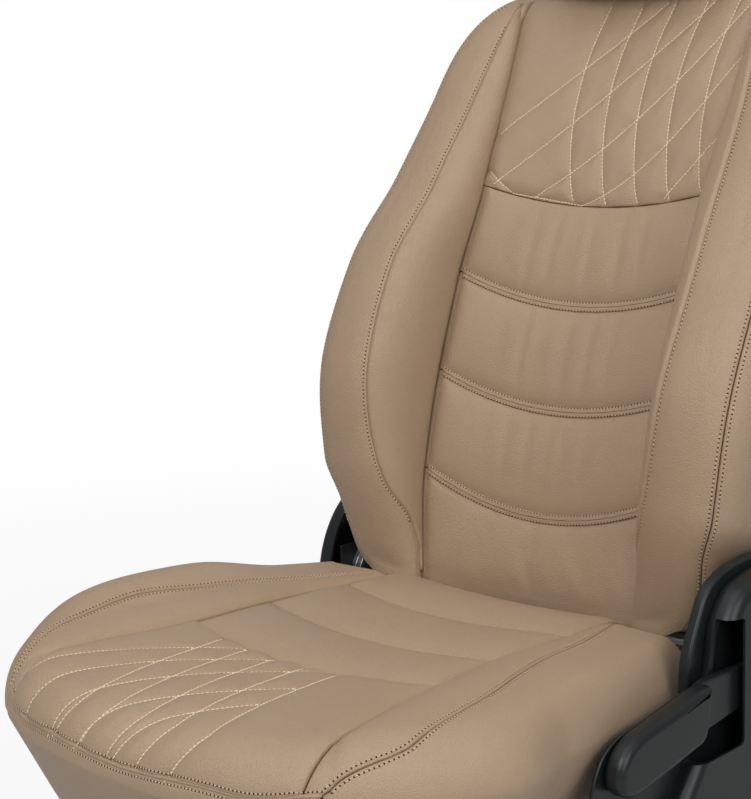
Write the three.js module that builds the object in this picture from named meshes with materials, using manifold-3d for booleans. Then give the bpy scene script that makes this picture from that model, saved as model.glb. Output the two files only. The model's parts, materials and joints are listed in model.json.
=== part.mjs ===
// Front car seat dressed in a tailored leatherette cover set.
// Millimetres, +Z up. The seat faces -Y, and +X is the outboard side, which carries the recline lever.
// The origin is on the floor, midway between the two slide rails.
// Every cover panel is its own thin sewn shell over the foam; seams are small gaps between the shells.
import * as THREE from 'three';
import { mergeVertices } from 'three/addons/utils/BufferGeometryUtils.js';
import Module from 'manifold-3d';

const wasm = await Module();
wasm.setup();

// ---------- driving dimensions ----------
const DEG = Math.PI / 180;
const DATUM = new THREE.Vector3(0, 164, 260); // where the cushion plane and the backrest plane cross
const BACK_TILT = 16.5 * DEG; // backrest plane behind vertical
const SEAT_TILT = 1.2 * DEG; // cushion plane above horizontal at the front
const HINGE = new THREE.Vector3(0, 164, 282); // recline axis, along X
const COVER = 1.6; // leatherette with its scrim and thin backing foam
const SEAM = 0.6; // half the gap that stands for a seam
const CLEAR = 0.4; // clearance between neighbouring parts

const BACK = {
  halfWidth: [[0, 128], [60, 136], [140, 143.5], [240, 147.5], [340, 147], [440, 139], [540, 141], [640, 145]],
  depth: [[0, 50], [60, 57], [140, 64.5], [240, 62.5], [340, 57.5], [440, 51.5], [540, 38], [640, 25]],
  rise: [[0, 7.5], [60, 29.5], [140, 62], [240, 83], [340, 71.5], [440, 40], [540, 22], [640, 14]],
  span: [[0, 55.5], [60, 63], [140, 68], [240, 73.5], [340, 74], [440, 68.5], [540, 57.5], [640, 44]],
  crest: 58,
  crestPower: 2.6,
  crestFall: 0.004,
  dish: 10,
  bottom: 70,
  top: 630,
  shoulder: 70,
  roll: 40,
  outerSeam: 40 * DEG,
  rear: -48,
};
const BACK_SEAMS = [[443, 17], [350, 27], [245, 28], [142, 32]]; // height at the ends, sag in the middle
const BACK_DOUBLE = [[88, 1.9], [120, 14], [180, 25], [250, 29.5], [340, 33], [430, 31.5], [520, 24], [628, 6]];

const SEAT = {
  halfWidth: [[60, 133], [164, 137], [270, 141.5], [359, 148], [450, 164], [560, 185]],
  depth: [[60, 54.5], [160, 58], [270, 60.5], [360, 59.5], [460, 61], [580, 60.5]],
  rise: [[60, 0], [160, 3], [270, 9.5], [360, 10.5], [460, 7.5], [560, 0]],
  crest: 47.5,
  crestPower: 2,
  crestFall: 0,
  dish: 6,
  roll: 48,
  rim: [[196, 88], [219, 180], [234.5, 300], [225, 386], [196, 441], [156, 486], [103, 508], [52, 514], [0, 516]],
  bulge: { from: 40, over: 45, height: [[60, 0], [160, 2], [260, 13], [340, 15], [420, 9], [520, 0]] },
  taper: 0.5,
  tuck: { keep: 0.6, from: [20, 70], to: [320, 400] }, // the outboard side is pressed in behind the trim
  rear: -80,
};
const SEAT_SEAMS = [147.5, 251, 342.5];
const SEAT_SEAM_BOW = -16;
const SEAT_DOUBLE = [[60, 0], [120, 17.5], [200, 37], [290, 52], [380, 64.5], [460, 60], [520, 24], [556, 2]];
const SEAT_FRONT = [[-186, 539], [-150, 559], [-100, 569], [0, 578], [100, 569], [150, 559], [186, 539]];

const HEADREST = { width: 262, height: 184, depth: 96, up: 740, forward: 54, lean: 10 * DEG };
const POST = { radius: 5, spacing: 72, depth: -12, low: 592, bend: 704, height: 752, forward: 44 };
const GUIDE = { radius: 7.6, bore: 5.4, flange: 15, low: 600, collar: 671, height: 6 };
const POCKET = { rear: -66 };
const HOOP = { radius: 9, depth: -29, x: 214, low: 80, top: 575 };
const ARM = { x: 226, plate: 3 };
const RECLINER = { disc: 6.6, radius: 34, bore: 6.4, rod: 6 };
const BRACKET = { x: 243.4, plate: 3, low: 84, half: 45 };
const MEMBER = { x: 186.5, plate: 3, low: 90, top: -17, front: 440 };
const RAIL = { x: 222, width: 46, wall: 2.5, low: 26, high: 56, neck: 6, top: 83, front: -250, rear: 230 };
const FOOT = { length: 44, flange: 45, plate: 6, bolt: 5 };
const SHIELD = { inner: 250, step: 261, arm: [265.5, 269], outer: 287, wall: 2.4 };
const LEVER = { inner: 270, neck: 279, outer: 290 };
const SPRING = { coil: 11, wire: 1.2, turns: 2.5, from: 249, to: 260 };
const CAP = { inner: -249, outer: -272, halfDepth: 54, halfHeight: 78, y: -5, z: 38 };
const BAR = { radius: 5, x: 176, pivot: [-40, 104], front: -362 };

const LEATHERETTE = { color: 0xaa8f75, roughness: 0.55, metalness: 0 };
const FOAM = { color: 0xd9cfae, roughness: 0.95, metalness: 0 };
const STEEL = { color: 0x3c4043, roughness: 0.5, metalness: 0.8 };
const ZINC = { color: 0x9aa0a4, roughness: 0.35, metalness: 0.9 };
const CHROME = { color: 0xc9cdd0, roughness: 0.15, metalness: 1 };
const BLACK_PLASTIC = { color: 0x15181a, roughness: 0.45, metalness: 0 };

const seat = new THREE.Group();
const slots = {};
function material(spec) {
  const key = spec.color;
  slots[key] ??= new THREE.MeshStandardMaterial(spec);
  return slots[key];
}
function add(name, geometry, spec) {
  const mesh = new THREE.Mesh(geometry, material(spec));
  mesh.name = name;
  seat.add(mesh);
  return mesh;
}

// ---------- solids and booleans ----------
function merged(geometry) {
  const bare = geometry.index ? geometry.toNonIndexed() : geometry.clone();
  bare.deleteAttribute('normal');
  bare.deleteAttribute('uv');
  return mergeVertices(bare, 1e-4);
}
function solid(geometry) {
  const g = merged(geometry);
  const mesh = new wasm.Mesh({
    numProp: 3,
    vertProperties: new Float32Array(g.attributes.position.array),
    triVerts: new Uint32Array(g.index.array),
  });
  return new wasm.Manifold(mesh);
}
function geometryOf(manifold) {
  const mesh = manifold.getMesh();
  const g = new THREE.BufferGeometry();
  g.setAttribute('position', new THREE.BufferAttribute(new Float32Array(mesh.vertProperties), 3));
  g.setIndex(new THREE.BufferAttribute(new Uint32Array(mesh.triVerts), 1));
  return g;
}
function cut(geometry, ...tools) {
  return geometryOf(tools.reduce((body, tool) => body.subtract(solid(tool)), solid(geometry)));
}
function join(...geometries) {
  return geometryOf(geometries.map(solid).reduce((body, next) => body.add(next)));
}
function box(x0, x1, y0, y1, z0, z1) {
  const g = new THREE.BoxGeometry(x1 - x0, y1 - y0, z1 - z0);
  return g.translate((x0 + x1) / 2, (y0 + y1) / 2, (z0 + z1) / 2);
}
function rodAlongX(x0, x1, y, z, radius, sides = 16) {
  const g = new THREE.CylinderGeometry(radius, radius, x1 - x0, sides);
  return g.rotateZ(Math.PI / 2).translate((x0 + x1) / 2, y, z);
}
function tube(points, radius, steps, sides = 8, tension = 0.5) {
  const path = new THREE.CatmullRomCurve3(points, false, 'catmullrom', tension);
  const section = new THREE.Shape().absarc(0, 0, radius, 0, 2 * Math.PI);
  return new THREE.ExtrudeGeometry(section, { extrudePath: path, steps, curveSegments: sides });
}
// A plate whose outline is given in the YZ plane, from x0 to x1.
function plateYZ(outline, x0, x1, bevel = 0, segments = 1) {
  const shape = new THREE.Shape(outline.map(([y, z]) => new THREE.Vector2(y, z)));
  const g = new THREE.ExtrudeGeometry(shape, {
    depth: x1 - x0 - 2 * bevel,
    bevelEnabled: bevel > 0,
    bevelSize: bevel,
    bevelThickness: bevel,
    bevelOffset: -bevel,
    bevelSegments: segments,
  });
  g.rotateY(Math.PI / 2).rotateX(Math.PI / 2);
  return g.translate(x0 + bevel, 0, 0);
}
function mirrorX(geometry) {
  const g = merged(geometry);
  g.scale(-1, 1, 1);
  const order = g.index.array;
  for (let i = 0; i < order.length; i += 3) [order[i], order[i + 1]] = [order[i + 1], order[i]];
  return g;
}

// ---------- curves ----------
// Monotone cubic through the knots [[position, value], ...], held flat outside them.
function profile(knots) {
  const x = knots.map((k) => k[0]);
  const y = knots.map((k) => k[1]);
  const n = x.length;
  const h = x.slice(1).map((v, i) => v - x[i]);
  const slope = h.map((v, i) => (y[i + 1] - y[i]) / v);
  const endSlope = (h0, h1, s0, s1) => {
    const d = ((2 * h0 + h1) * s0 - h0 * s1) / (h0 + h1);
    if (d * s0 <= 0) return 0;
    return s0 * s1 <= 0 && Math.abs(d) > Math.abs(3 * s0) ? 3 * s0 : d;
  };
  const d = x.map((_, i) => {
    if (i === 0) return endSlope(h[0], h[1], slope[0], slope[1]);
    if (i === n - 1) return endSlope(h[n - 2], h[n - 3], slope[n - 2], slope[n - 3]);
    if (slope[i - 1] * slope[i] <= 0) return 0;
    const w1 = 2 * h[i] + h[i - 1];
    const w2 = h[i] + 2 * h[i - 1];
    return (w1 + w2) / (w1 / slope[i - 1] + w2 / slope[i]);
  });
  return (at) => {
    const p = Math.min(Math.max(at, x[0]), x[n - 1]);
    let i = 0;
    while (i < n - 2 && p > x[i + 1]) i += 1;
    const t = (p - x[i]) / h[i];
    const a = y[i] * (1 + 2 * t) * (1 - t) ** 2 + y[i + 1] * t * t * (3 - 2 * t);
    return a + h[i] * (d[i] * t * (1 - t) ** 2 + d[i + 1] * t * t * (t - 1));
  };
}
function lengths(line) {
  const out = [0];
  for (let i = 1; i < line.length; i += 1) {
    out.push(out[i - 1] + Math.hypot(line[i][0] - line[i - 1][0], line[i][1] - line[i - 1][1]));
  }
  return out;
}
function pointOn(line, run, s) {
  let i = 1;
  while (i < line.length - 1 && run[i] < s) i += 1;
  const t = (s - run[i - 1]) / (run[i] - run[i - 1]);
  return line[i - 1].map((v, k) => v + (line[i][k] - v) * t);
}
function resample(line, count) {
  const run = lengths(line);
  return Array.from({ length: count }, (_, i) => pointOn(line, run, (run.at(-1) * i) / (count - 1)));
}
function smoothClosed(line, passes) {
  let ring = line.slice(0, -1);
  for (let k = 0; k < passes; k += 1) {
    ring = ring.map((p, i) => {
      const a = ring.at(i - 1);
      const b = ring[(i + 1) % ring.length];
      return [(a[0] + 2 * p[0] + b[0]) / 4, (a[1] + 2 * p[1] + b[1]) / 4];
    });
  }
  return [...ring, ring[0]];
}
function closeHalf(half) {
  const mirrored = half.slice(0, -1).reverse().map(([x, v]) => [-x, v]);
  return [...half, ...mirrored, half[0]];
}
function spline2(points, count) {
  const curve = new THREE.SplineCurve(points.map(([x, y]) => new THREE.Vector2(x, y)));
  return curve.getPoints(count).map((p) => [p.x, p.y]);
}
const lerp = (a, b, t) => a + (b - a) * t;

// ---------- padded surface ----------
// One upholstered face: a centre panel, raised bolsters outside the centre seams, a rolled rim and a wall.
// A place on it is (x, v): x across, v along the face; past the rim the same plane is wrapped round the roll.
class PaddedSurface {
  constructor(spec, rim, place) {
    Object.assign(this, spec);
    this.halfWidth = profile(spec.halfWidth);
    this.depth = profile(spec.depth);
    this.rise = profile(spec.rise);
    this.fullness = spec.bulge && profile(spec.bulge.height);
    this.rim = rim;
    this.place = place;
    this.run = lengths(rim);
    this.arc = (this.roll * Math.PI) / 2;
    this.reach = 60;
    this.rimNormals = rim.map((p, i) => {
      const a = i === 0 ? rim.at(-2) : rim[i - 1];
      const b = i === rim.length - 1 ? rim[1] : rim[i + 1];
      const l = Math.hypot(b[0] - a[0], b[1] - a[1]);
      return [(b[1] - a[1]) / l, -(b[0] - a[0]) / l];
    });
  }

  // How far the bolster stands above the centre panel, at a distance outside the centre seam.
  bolster(out, v) {
    const u = Math.min(out / this.crest, 1);
    const shape = (1 - (1 - u) ** this.crestPower) ** (1 / this.crestPower);
    return this.rise(v) * shape - this.crestFall * Math.max(out - this.crest, 0) ** 2;
  }

  // The extra fullness of the inboard bolster's outer part.
  bulging(x, v) {
    if (!this.bulge) return 0;
    const far = Math.min(Math.max((-x - this.halfWidth(v) - this.bulge.from) / this.bulge.over, 0), 1);
    return this.fullness(v) * far * far * (3 - 2 * far);
  }

  face(x, v) {
    const out = Math.max(Math.abs(x) - this.halfWidth(v), 0);
    const across = Math.min(Math.abs(x) / this.halfWidth(v), 1);
    return this.depth(v) + this.bolster(out, v) + this.bulging(x, v) - this.dish * (1 - across ** 2);
  }

  // The x of a place t along the surface outside the centre seam, where the bolster's flank is steep.
  across(side, t, v) {
    const span = this.crest * 1.3;
    const flank = this.crest * (1 - Math.cos((Math.min(t / span, 1) * Math.PI) / 2) ** (2 / this.crestPower));
    return side * (this.halfWidth(v) + flank + Math.max(t - span, 0));
  }

  // The inverse of across, for a distance measured straight out from the centre seam.
  along(out) {
    const span = this.crest * 1.3;
    if (out >= this.crest) return span + out - this.crest;
    if (out <= 0) return 0;
    return (span * 2 * Math.acos((1 - out / this.crest) ** (this.crestPower / 2))) / Math.PI;
  }

  nearest(x, v) {
    let best = { gap: Infinity };
    for (let i = 0; i < this.rim.length - 1; i += 1) {
      const [ax, av] = this.rim[i];
      const [bx, bv] = this.rim[i + 1];
      const [dx, dv] = [bx - ax, bv - av];
      const t = Math.min(Math.max(((x - ax) * dx + (v - av) * dv) / (dx * dx + dv * dv), 0), 1);
      const gap = Math.hypot(x - ax - dx * t, v - av - dv * t);
      if (gap < best.gap) best = { gap, i, t, foot: [ax + dx * t, av + dv * t] };
    }
    const n = [0, 1].map((k) => lerp(this.rimNormals[best.i][k], this.rimNormals[best.i + 1][k], best.t));
    const l = Math.hypot(...n);
    const normal = [n[0] / l, n[1] / l];
    const side = Math.sign((x - best.foot[0]) * normal[0] + (v - best.foot[1]) * normal[1]);
    return { out: best.gap * side, foot: best.foot, normal };
  }

  point(x, v) {
    const { out, foot, normal } = this.nearest(x, v);
    if (out <= 0) return this.place(x, v, this.face(x, v));
    const edge = this.face(...foot);
    const angle = Math.min(out / this.roll, Math.PI / 2);
    const down = Math.min(Math.max(out - this.arc, 0) / this.reach, 1);
    const wallTop = edge - this.roll;
    const height = down > 0 ? lerp(wallTop, this.rear, down) : edge - this.roll * (1 - Math.cos(angle));
    const inset = (this.taper ?? 0) * (down > 0 ? wallTop - height : 0);
    const reach = this.roll * Math.sin(angle) * this.pressed(foot, normal) - inset;
    return this.place(foot[0] + normal[0] * reach, foot[1] + normal[1] * reach, height);
  }

  // The share of the roll that is left where one side is pressed in.
  pressed(foot, normal) {
    if (!this.tuck || foot[0] < 0 || normal[0] < 0.3) return 1;
    const { keep, from, to } = this.tuck;
    const ramp = ([a, b]) => Math.min(Math.max((foot[1] - a) / (b - a), 0), 1);
    const ease = (t) => t * t * (3 - 2 * t);
    return 1 - (1 - keep) * ease(ramp(from)) * (1 - ease(ramp(to)));
  }

  // A place a distance out from the rim, at a length along it.
  outside(s, out) {
    const foot = pointOn(this.rim, this.run, s);
    const { normal } = this.nearest(...foot);
    return [foot[0] + normal[0] * out, foot[1] + normal[1] * out];
  }

  // Length along the rim of the rim point nearest to a place.
  station(x, v) {
    let best = [Infinity, 0];
    this.rim.forEach(([px, pv], i) => {
      const gap = Math.hypot(px - x, pv - v);
      if (gap < best[0]) best = [gap, this.run[i]];
    });
    return best[1];
  }
}

// A closed shell: the sheet at(u, v) thickened inwards. turn is +1 where u x v points out of the pad.
function shell(surface, at, columns, rows, turn, thickness = COVER) {
  const outer = [];
  const inner = [];
  const step = 0.004;
  const sample = (u, v) => surface.point(...at(u, v));
  for (let j = 0; j <= rows; j += 1) {
    for (let i = 0; i <= columns; i += 1) {
      const [u, v] = [i / columns, j / rows];
      const p = sample(u, v);
      const [u0, u1] = [Math.max(u - step, 0), Math.min(u + step, 1)];
      const [v0, v1] = [Math.max(v - step, 0), Math.min(v + step, 1)];
      const du = sample(u1, v).sub(sample(u0, v));
      const dv = sample(u, v1).sub(sample(u, v0));
      const normal = du.cross(dv).normalize();
      outer.push(p);
      inner.push(p.clone().addScaledVector(normal, -turn * thickness));
    }
  }
  return closedSheet(outer, inner, columns, rows, turn);
}
function closedSheet(outer, inner, columns, rows, turn) {
  const count = outer.length;
  const index = [];
  const quad = (a, b, c, d) => index.push(...(turn > 0 ? [a, b, c, a, c, d] : [a, c, b, a, d, c]));
  const id = (i, j) => j * (columns + 1) + i;
  for (let j = 0; j < rows; j += 1) {
    for (let i = 0; i < columns; i += 1) {
      const [a, b, c, d] = [id(i, j), id(i + 1, j), id(i + 1, j + 1), id(i, j + 1)];
      quad(a, b, c, d);
      quad(count + d, count + c, count + b, count + a);
    }
  }
  for (let i = 0; i < columns; i += 1) {
    quad(id(i + 1, 0), id(i, 0), count + id(i, 0), count + id(i + 1, 0));
    quad(id(i, rows), id(i + 1, rows), count + id(i + 1, rows), count + id(i, rows));
  }
  for (let j = 0; j < rows; j += 1) {
    quad(id(0, j), id(0, j + 1), count + id(0, j + 1), count + id(0, j));
    quad(id(columns, j + 1), id(columns, j), count + id(columns, j), count + id(columns, j + 1));
  }
  const g = new THREE.BufferGeometry();
  g.setAttribute('position', new THREE.Float32BufferAttribute([...outer, ...inner].flatMap((p) => p.toArray()), 3));
  g.setIndex(index);
  return g;
}

// ---------- where the two upholstered faces lie ----------
// Backrest frame: x across, h up the backrest, d out of its front. Seat frame: x across, -f, e up.
const ACROSS = new THREE.Vector3(1, 0, 0);
const BACK_UP = new THREE.Vector3(0, Math.sin(BACK_TILT), Math.cos(BACK_TILT));
const BACK_FRAME = new THREE.Matrix4()
  .makeBasis(ACROSS, BACK_UP, ACROSS.clone().cross(BACK_UP))
  .setPosition(DATUM);
const SEAT_REAR = new THREE.Vector3(0, Math.cos(SEAT_TILT), -Math.sin(SEAT_TILT));
const SEAT_FRAME = new THREE.Matrix4()
  .makeBasis(ACROSS, SEAT_REAR, ACROSS.clone().cross(SEAT_REAR))
  .setPosition(DATUM);
const backPlace = (x, h, d) => new THREE.Vector3(x, h, d).applyMatrix4(BACK_FRAME);
const seatPlace = (x, f, e) => new THREE.Vector3(x, -f, e).applyMatrix4(SEAT_FRAME);
const inBack = (geometry) => geometry.applyMatrix4(BACK_FRAME);
const inSeat = (geometry) => geometry.applyMatrix4(SEAT_FRAME);
const RIM_POINTS = 160;
function backRim(spec) {
  const [width, span] = [profile(spec.halfWidth), profile(spec.span)];
  const straight = spec.top - spec.shoulder;
  const rows = Array.from({ length: 40 }, (_, i) => lerp(spec.bottom, straight, i / 39));
  const side = rows.map((h) => [width(h) + span(h), h]);
  const x = side.at(-1)[0];
  const turns = Array.from({ length: 12 }, (_, i) => ((i + 1) / 12) * (Math.PI / 2));
  const r = spec.shoulder;
  const corner = turns.map((a) => [x - 1.1 * r * (1 - Math.cos(a)), straight + r * Math.sin(a)]);
  return smoothClosed(resample(closeHalf([...side, ...corner, [0, spec.top]]), RIM_POINTS + 1), 6);
}
function seatRim(spec) {
  return smoothClosed(resample(closeHalf(spline2(spec.rim, 120)), RIM_POINTS + 1), 3);
}
const backFace = new PaddedSurface(BACK, backRim(BACK), backPlace);
const seatFace = new PaddedSurface(SEAT, seatRim(SEAT), seatPlace);

// ---------- backrest cover ----------
const backSeam = ([end, sag], across) => end - sag * (1 - across ** 2);
// A centre pad between two heights, each given as a function of the place across, -1 to 1.
function centrePad(surface, low, high, columns, rows, turn) {
  const edge = (v) => 1 - (2 * SEAM) / surface.halfWidth(v);
  return shell(surface, (u, v) => {
    const across = 2 * u - 1;
    const along = lerp(low(across) + SEAM, high(across) - SEAM, v);
    return [across * surface.halfWidth(along) * edge(along), along];
  }, columns, rows, turn);
}
function backPads() {
  const outerEdge = BACK.roll * BACK.outerSeam - SEAM;
  const topEdge = (across) => {
    const x = across * backFace.halfWidth(BACK.top);
    return Array.from({ length: 8 }).reduce((h) => h + outerEdge - backFace.nearest(x, h).out, BACK.top);
  };
  const bottomEdge = () => BACK.bottom - 1.1 * BACK.roll;
  const seams = BACK_SEAMS.map((s) => (across) => backSeam(s, across));
  add('back_quilt_panel', centrePad(backFace, seams[0], topEdge, 10, 7, 1), LEATHERETTE);
  [...seams.slice(1), bottomEdge].forEach((low, i) => {
    add(`back_pad_${i + 1}`, centrePad(backFace, low, seams[i], 10, 4, 1), LEATHERETTE);
  });
}
const backDouble = profile(BACK_DOUBLE);
const BOLSTER_SPAN = [BACK_DOUBLE[0][0] + 4, BACK_DOUBLE.at(-1)[0]];
function backInner(side) {
  return shell(backFace, (u, v) => {
    const h = lerp(...BOLSTER_SPAN, v);
    const t = lerp(SEAM, backFace.along(backDouble(h)) - SEAM, u);
    return [backFace.across(side, t, h), h];
  }, 3, 18, side);
}
// From the double seam out to the outer seam on the roll.
function backOuter(side) {
  const start = backFace.station(side * 200, BACK.bottom);
  const end = backFace.station(side * 158, BACK.top);
  const outerEdge = BACK.roll * BACK.outerSeam - SEAM;
  return shell(backFace, (u, v) => {
    const h = lerp(...BOLSTER_SPAN, v);
    const edge = backFace.outside(lerp(start, end, v), outerEdge);
    const along = lerp(h, edge[1], u);
    const edgeT = backFace.along(Math.abs(edge[0]) - backFace.halfWidth(edge[1]));
    return [backFace.across(side, lerp(backFace.along(backDouble(h)) + SEAM, edgeT, u), along), along];
  }, 7, 18, side);
}
function backBand() {
  const start = backFace.station(200, BACK.bottom + 30);
  const end = backFace.station(-200, BACK.bottom + 30);
  const [near, far] = [BACK.roll * BACK.outerSeam + 2 * SEAM, backFace.arc + backFace.reach];
  const band = shell(backFace, (u, v) => backFace.outside(lerp(start, end, v), lerp(near, far, u)), 5, 44, 1);
  const holes = [-1, 1].map((side) => postRod(side, BACK.top - 20, BACK.top + 80, GUIDE.radius + CLEAR));
  return cut(band, ...holes);
}
// A cylinder on the axis of a headrest post, between two heights up the backrest.
function postRod(side, low, high, radius, sides = 16) {
  const g = new THREE.CylinderGeometry(radius, radius, high - low, sides);
  return inBack(g.translate(side * POST.spacing, (low + high) / 2, POST.depth));
}
// A flat piece parallel to the backrest, from its outline in (x, h), between two depths.
function backPlate(outline, low, high, bevel = 0) {
  const shape = new THREE.Shape(outline.map(([x, h]) => new THREE.Vector2(x, h)));
  const g = new THREE.ExtrudeGeometry(shape, {
    depth: high - low - 2 * bevel,
    bevelEnabled: bevel > 0,
    bevelSize: bevel,
    bevelThickness: bevel,
    bevelOffset: -bevel,
    bevelSegments: 2,
  });
  return inBack(g.translate(0, 0, low + bevel));
}
// The outline of the closed rear, inside the side band.
function rearOutline(inset) {
  const ring = backFace.rim.filter((_, i) => i % 4 === 0).slice(0, -1);
  return ring.map(([x, h]) => {
    const { normal } = backFace.nearest(x, h);
    return [x + normal[0] * (BACK.roll - inset), h + normal[1] * (BACK.roll - inset)];
  });
}
function roundedRect(x0, x1, y0, y1, r, steps = 3) {
  const corners = [[x1 - r, y0 + r, -90], [x1 - r, y1 - r, 0], [x0 + r, y1 - r, 90], [x0 + r, y0 + r, 180]];
  return corners.flatMap(([cx, cy, a]) => Array.from({ length: steps + 1 }, (_, i) => {
    const t = (a + (90 * i) / steps) * DEG;
    return [cx + r * Math.cos(t), cy + r * Math.sin(t)];
  }));
}
function mapPocket() {
  const face = backPlate(roundedRect(-150, 150, 150, 330, 18), POCKET.rear, BACK.rear - CLEAR - COVER - CLEAR, 2);
  const hollow = backPlate(roundedRect(-146, 146, 154, 360, 14), POCKET.rear + 2, BACK.rear - COVER);
  return cut(face, hollow);
}

// ---------- cushion cover ----------
const seatDouble = profile(SEAT_DOUBLE);
const seatSeam = (f) => (across) => f + SEAT_SEAM_BOW * (1 - across ** 2);
const frontLine = spline2(SEAT_FRONT, 80);
const frontRun = lengths(frontLine);
function frontEdge(across) {
  const x = across * SEAT_FRONT.at(-1)[0];
  let best = frontLine[0];
  frontLine.forEach((p) => {
    if (Math.abs(p[0] - x) < Math.abs(best[0] - x)) best = p;
  });
  return best[1];
}
function seatPads() {
  const rear = () => SEAT.rim[0][1] - 0.9 * SEAT.roll;
  const seams = SEAT_SEAMS.map(seatSeam);
  const names = ['seat_pad_rear', 'seat_pad_middle', 'seat_pad_front'];
  [rear, ...seams.slice(0, 2)].forEach((low, i) => {
    add(names[i], centrePad(seatFace, low, seams[i], 10, 4, -1), LEATHERETTE);
  });
  add('seat_quilt_panel', centrePad(seatFace, seams[2], frontEdge, 12, 9, -1), LEATHERETTE);
}
const SEAT_REAR_EDGE = SEAT.rim[0][1] + 8;
const CORNER = SEAT_FRONT.at(-1)[1] - 6;
function doublePoint(side, f) {
  return [side * (seatFace.halfWidth(f) + seatDouble(f)), f];
}
function seatInner(side) {
  return shell(seatFace, (u, v) => {
    const f = lerp(SEAT_REAR_EDGE, CORNER, v);
    const t = lerp(2 * SEAM, seatFace.along(Math.max(seatDouble(f), 5)) - SEAM, u);
    return [seatFace.across(side, t, f), f];
  }, 3, 16, -side);
}
function seatSide(side) {
  const start = seatFace.station(side * 200, SEAT_REAR_EDGE + 6);
  const end = seatFace.station(...doublePoint(side, CORNER));
  const half = 0.5;
  return shell(seatFace, (u, v) => {
    const s = lerp(start, end, v);
    const [x, f] = doublePoint(side, lerp(SEAT_REAR_EDGE, CORNER, v));
    const seam = [x + side * SEAM, f];
    const foot = seatFace.outside(s, Math.max(0, seatFace.nearest(...seam).out + 1));
    const down = seatFace.outside(s, seatFace.arc + seatFace.reach);
    const [a, b, k] = u < half ? [seam, foot, u / half] : [foot, down, (u - half) / half];
    return [lerp(a[0], b[0], k), lerp(a[1], b[1], k)];
  }, 8, 18, -side);
}
function seatFrontSkirt() {
  const start = seatFace.station(...doublePoint(-1, CORNER));
  const end = seatFace.station(...doublePoint(1, CORNER));
  const gap = 4 * SEAM * Math.sign(end - start);
  return shell(seatFace, (u, v) => {
    const [x, f] = pointOn(frontLine, frontRun, frontRun.at(-1) * lerp(0.006, 0.994, u));
    const down = seatFace.outside(lerp(start + gap, end - gap, u), seatFace.arc + seatFace.reach);
    return [lerp(x, down[0], v), lerp(f + 2 * SEAM, down[1], v)];
  }, 16, 5, -1);
}

// ---------- foam ----------
// Half the width of the rim, widened by a margin, at a place along the face; undefined past its ends.
function extent(surface, v, margin) {
  const ring = surface.rim.map((p, i) => p.map((c, k) => c + surface.rimNormals[i][k] * margin));
  let widest;
  for (let i = 1; i < ring.length; i += 1) {
    const [a, b] = [ring[i - 1], ring[i]];
    if ((a[1] - v) * (b[1] - v) > 0 || a[1] === b[1]) continue;
    const x = Math.abs(lerp(a[0], b[0], (v - a[1]) / (b[1] - a[1])));
    widest = Math.max(widest ?? 0, x);
  }
  return widest;
}
// A moulded pad: the padded surface in front, a flat underside, one closed solid.
function foamPad(surface, rowsInside, turn) {
  const { arc, reach, rim } = surface;
  const far = arc + reach;
  const [low, high] = [Math.min(...rim.map((p) => p[1])), Math.max(...rim.map((p) => p[1]))];
  const inside = Array.from({ length: rowsInside }, (_, j) => lerp(low, high, j / (rowsInside - 1)));
  const ends = [arc / 2, arc];
  const rows = [low - far, low - arc, low - arc / 2, ...inside, ...ends.map((m) => high + m), high + far];
  const half = (v) => {
    const rings = [0, arc / 2, arc, far].map((m) => extent(surface, v, m - 0.01));
    for (let i = rings.length - 2; i >= 0; i -= 1) rings[i] ??= rings[i + 1] * 0.88;
    const w = surface.halfWidth(v);
    const flank = [w / 2, w, ...[10, 30, 60].map((t) => surface.across(1, t, v))];
    const fit = Math.min(1, (0.96 * rings[0]) / flank.at(-1));
    return [...flank.map((x) => x * fit), ...rings];
  };
  rows[0] += 2;
  rows[rows.length - 1] -= 2;
  const grid = rows.map((v) => {
    const xs = half(v);
    return [...xs.map((x) => -x).reverse(), 0, ...xs].map((x) => surface.point(x, v));
  });
  return pillow(grid, turn);
}
function pillow(grid, turn) {
  const [last, end] = [grid.length - 1, grid[0].length - 1];
  const points = grid.flat();
  const front = (i, j) => j * (end + 1) + i;
  const back = new Map();
  for (let j = 1; j < last; j += 1) {
    for (let i = 1; i < end; i += 1) {
      back.set(front(i, j), points.length);
      points.push(grid[j][0].clone().lerp(grid[j][end], i / end));
    }
  }
  const rear = (i, j) => back.get(front(i, j)) ?? front(i, j);
  const index = [];
  const quad = (p, q, r, t) => index.push(...(turn > 0 ? [p, q, r, p, r, t] : [p, r, q, p, t, r]));
  for (let j = 0; j < last; j += 1) {
    for (let i = 0; i < end; i += 1) {
      quad(front(i, j), front(i + 1, j), front(i + 1, j + 1), front(i, j + 1));
      quad(rear(i, j + 1), rear(i + 1, j + 1), rear(i + 1, j), rear(i, j));
    }
  }
  const g = new THREE.BufferGeometry();
  g.setAttribute('position', new THREE.Float32BufferAttribute(points.flatMap((p) => p.toArray()), 3));
  g.setIndex(index);
  return g;
}
const shifted = (knots, by) => knots.map(([at, value]) => [at, value + by]);
function foams() {
  const back = {
    ...BACK,
    halfWidth: shifted(BACK.halfWidth, 6),
    span: shifted(BACK.span, -6),
    depth: shifted(BACK.depth, -9),
    crest: BACK.crest - 4,
    roll: 26,
    rear: -3,
  };
  const cushion = {
    ...SEAT,
    halfWidth: shifted(SEAT.halfWidth, 4),
    depth: shifted(SEAT.depth, -6),
    roll: 34,
    taper: 0.3,
    tuck: { ...SEAT.tuck, keep: 0.45 },
    rear: -13,
  };
  add('backrest_foam', foamPad(new PaddedSurface(back, backRim(back), backPlace), 10, 1), FOAM);
  add('cushion_foam', foamPad(new PaddedSurface(cushion, seatRim(cushion), seatPlace), 9, -1), FOAM);
}

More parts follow.
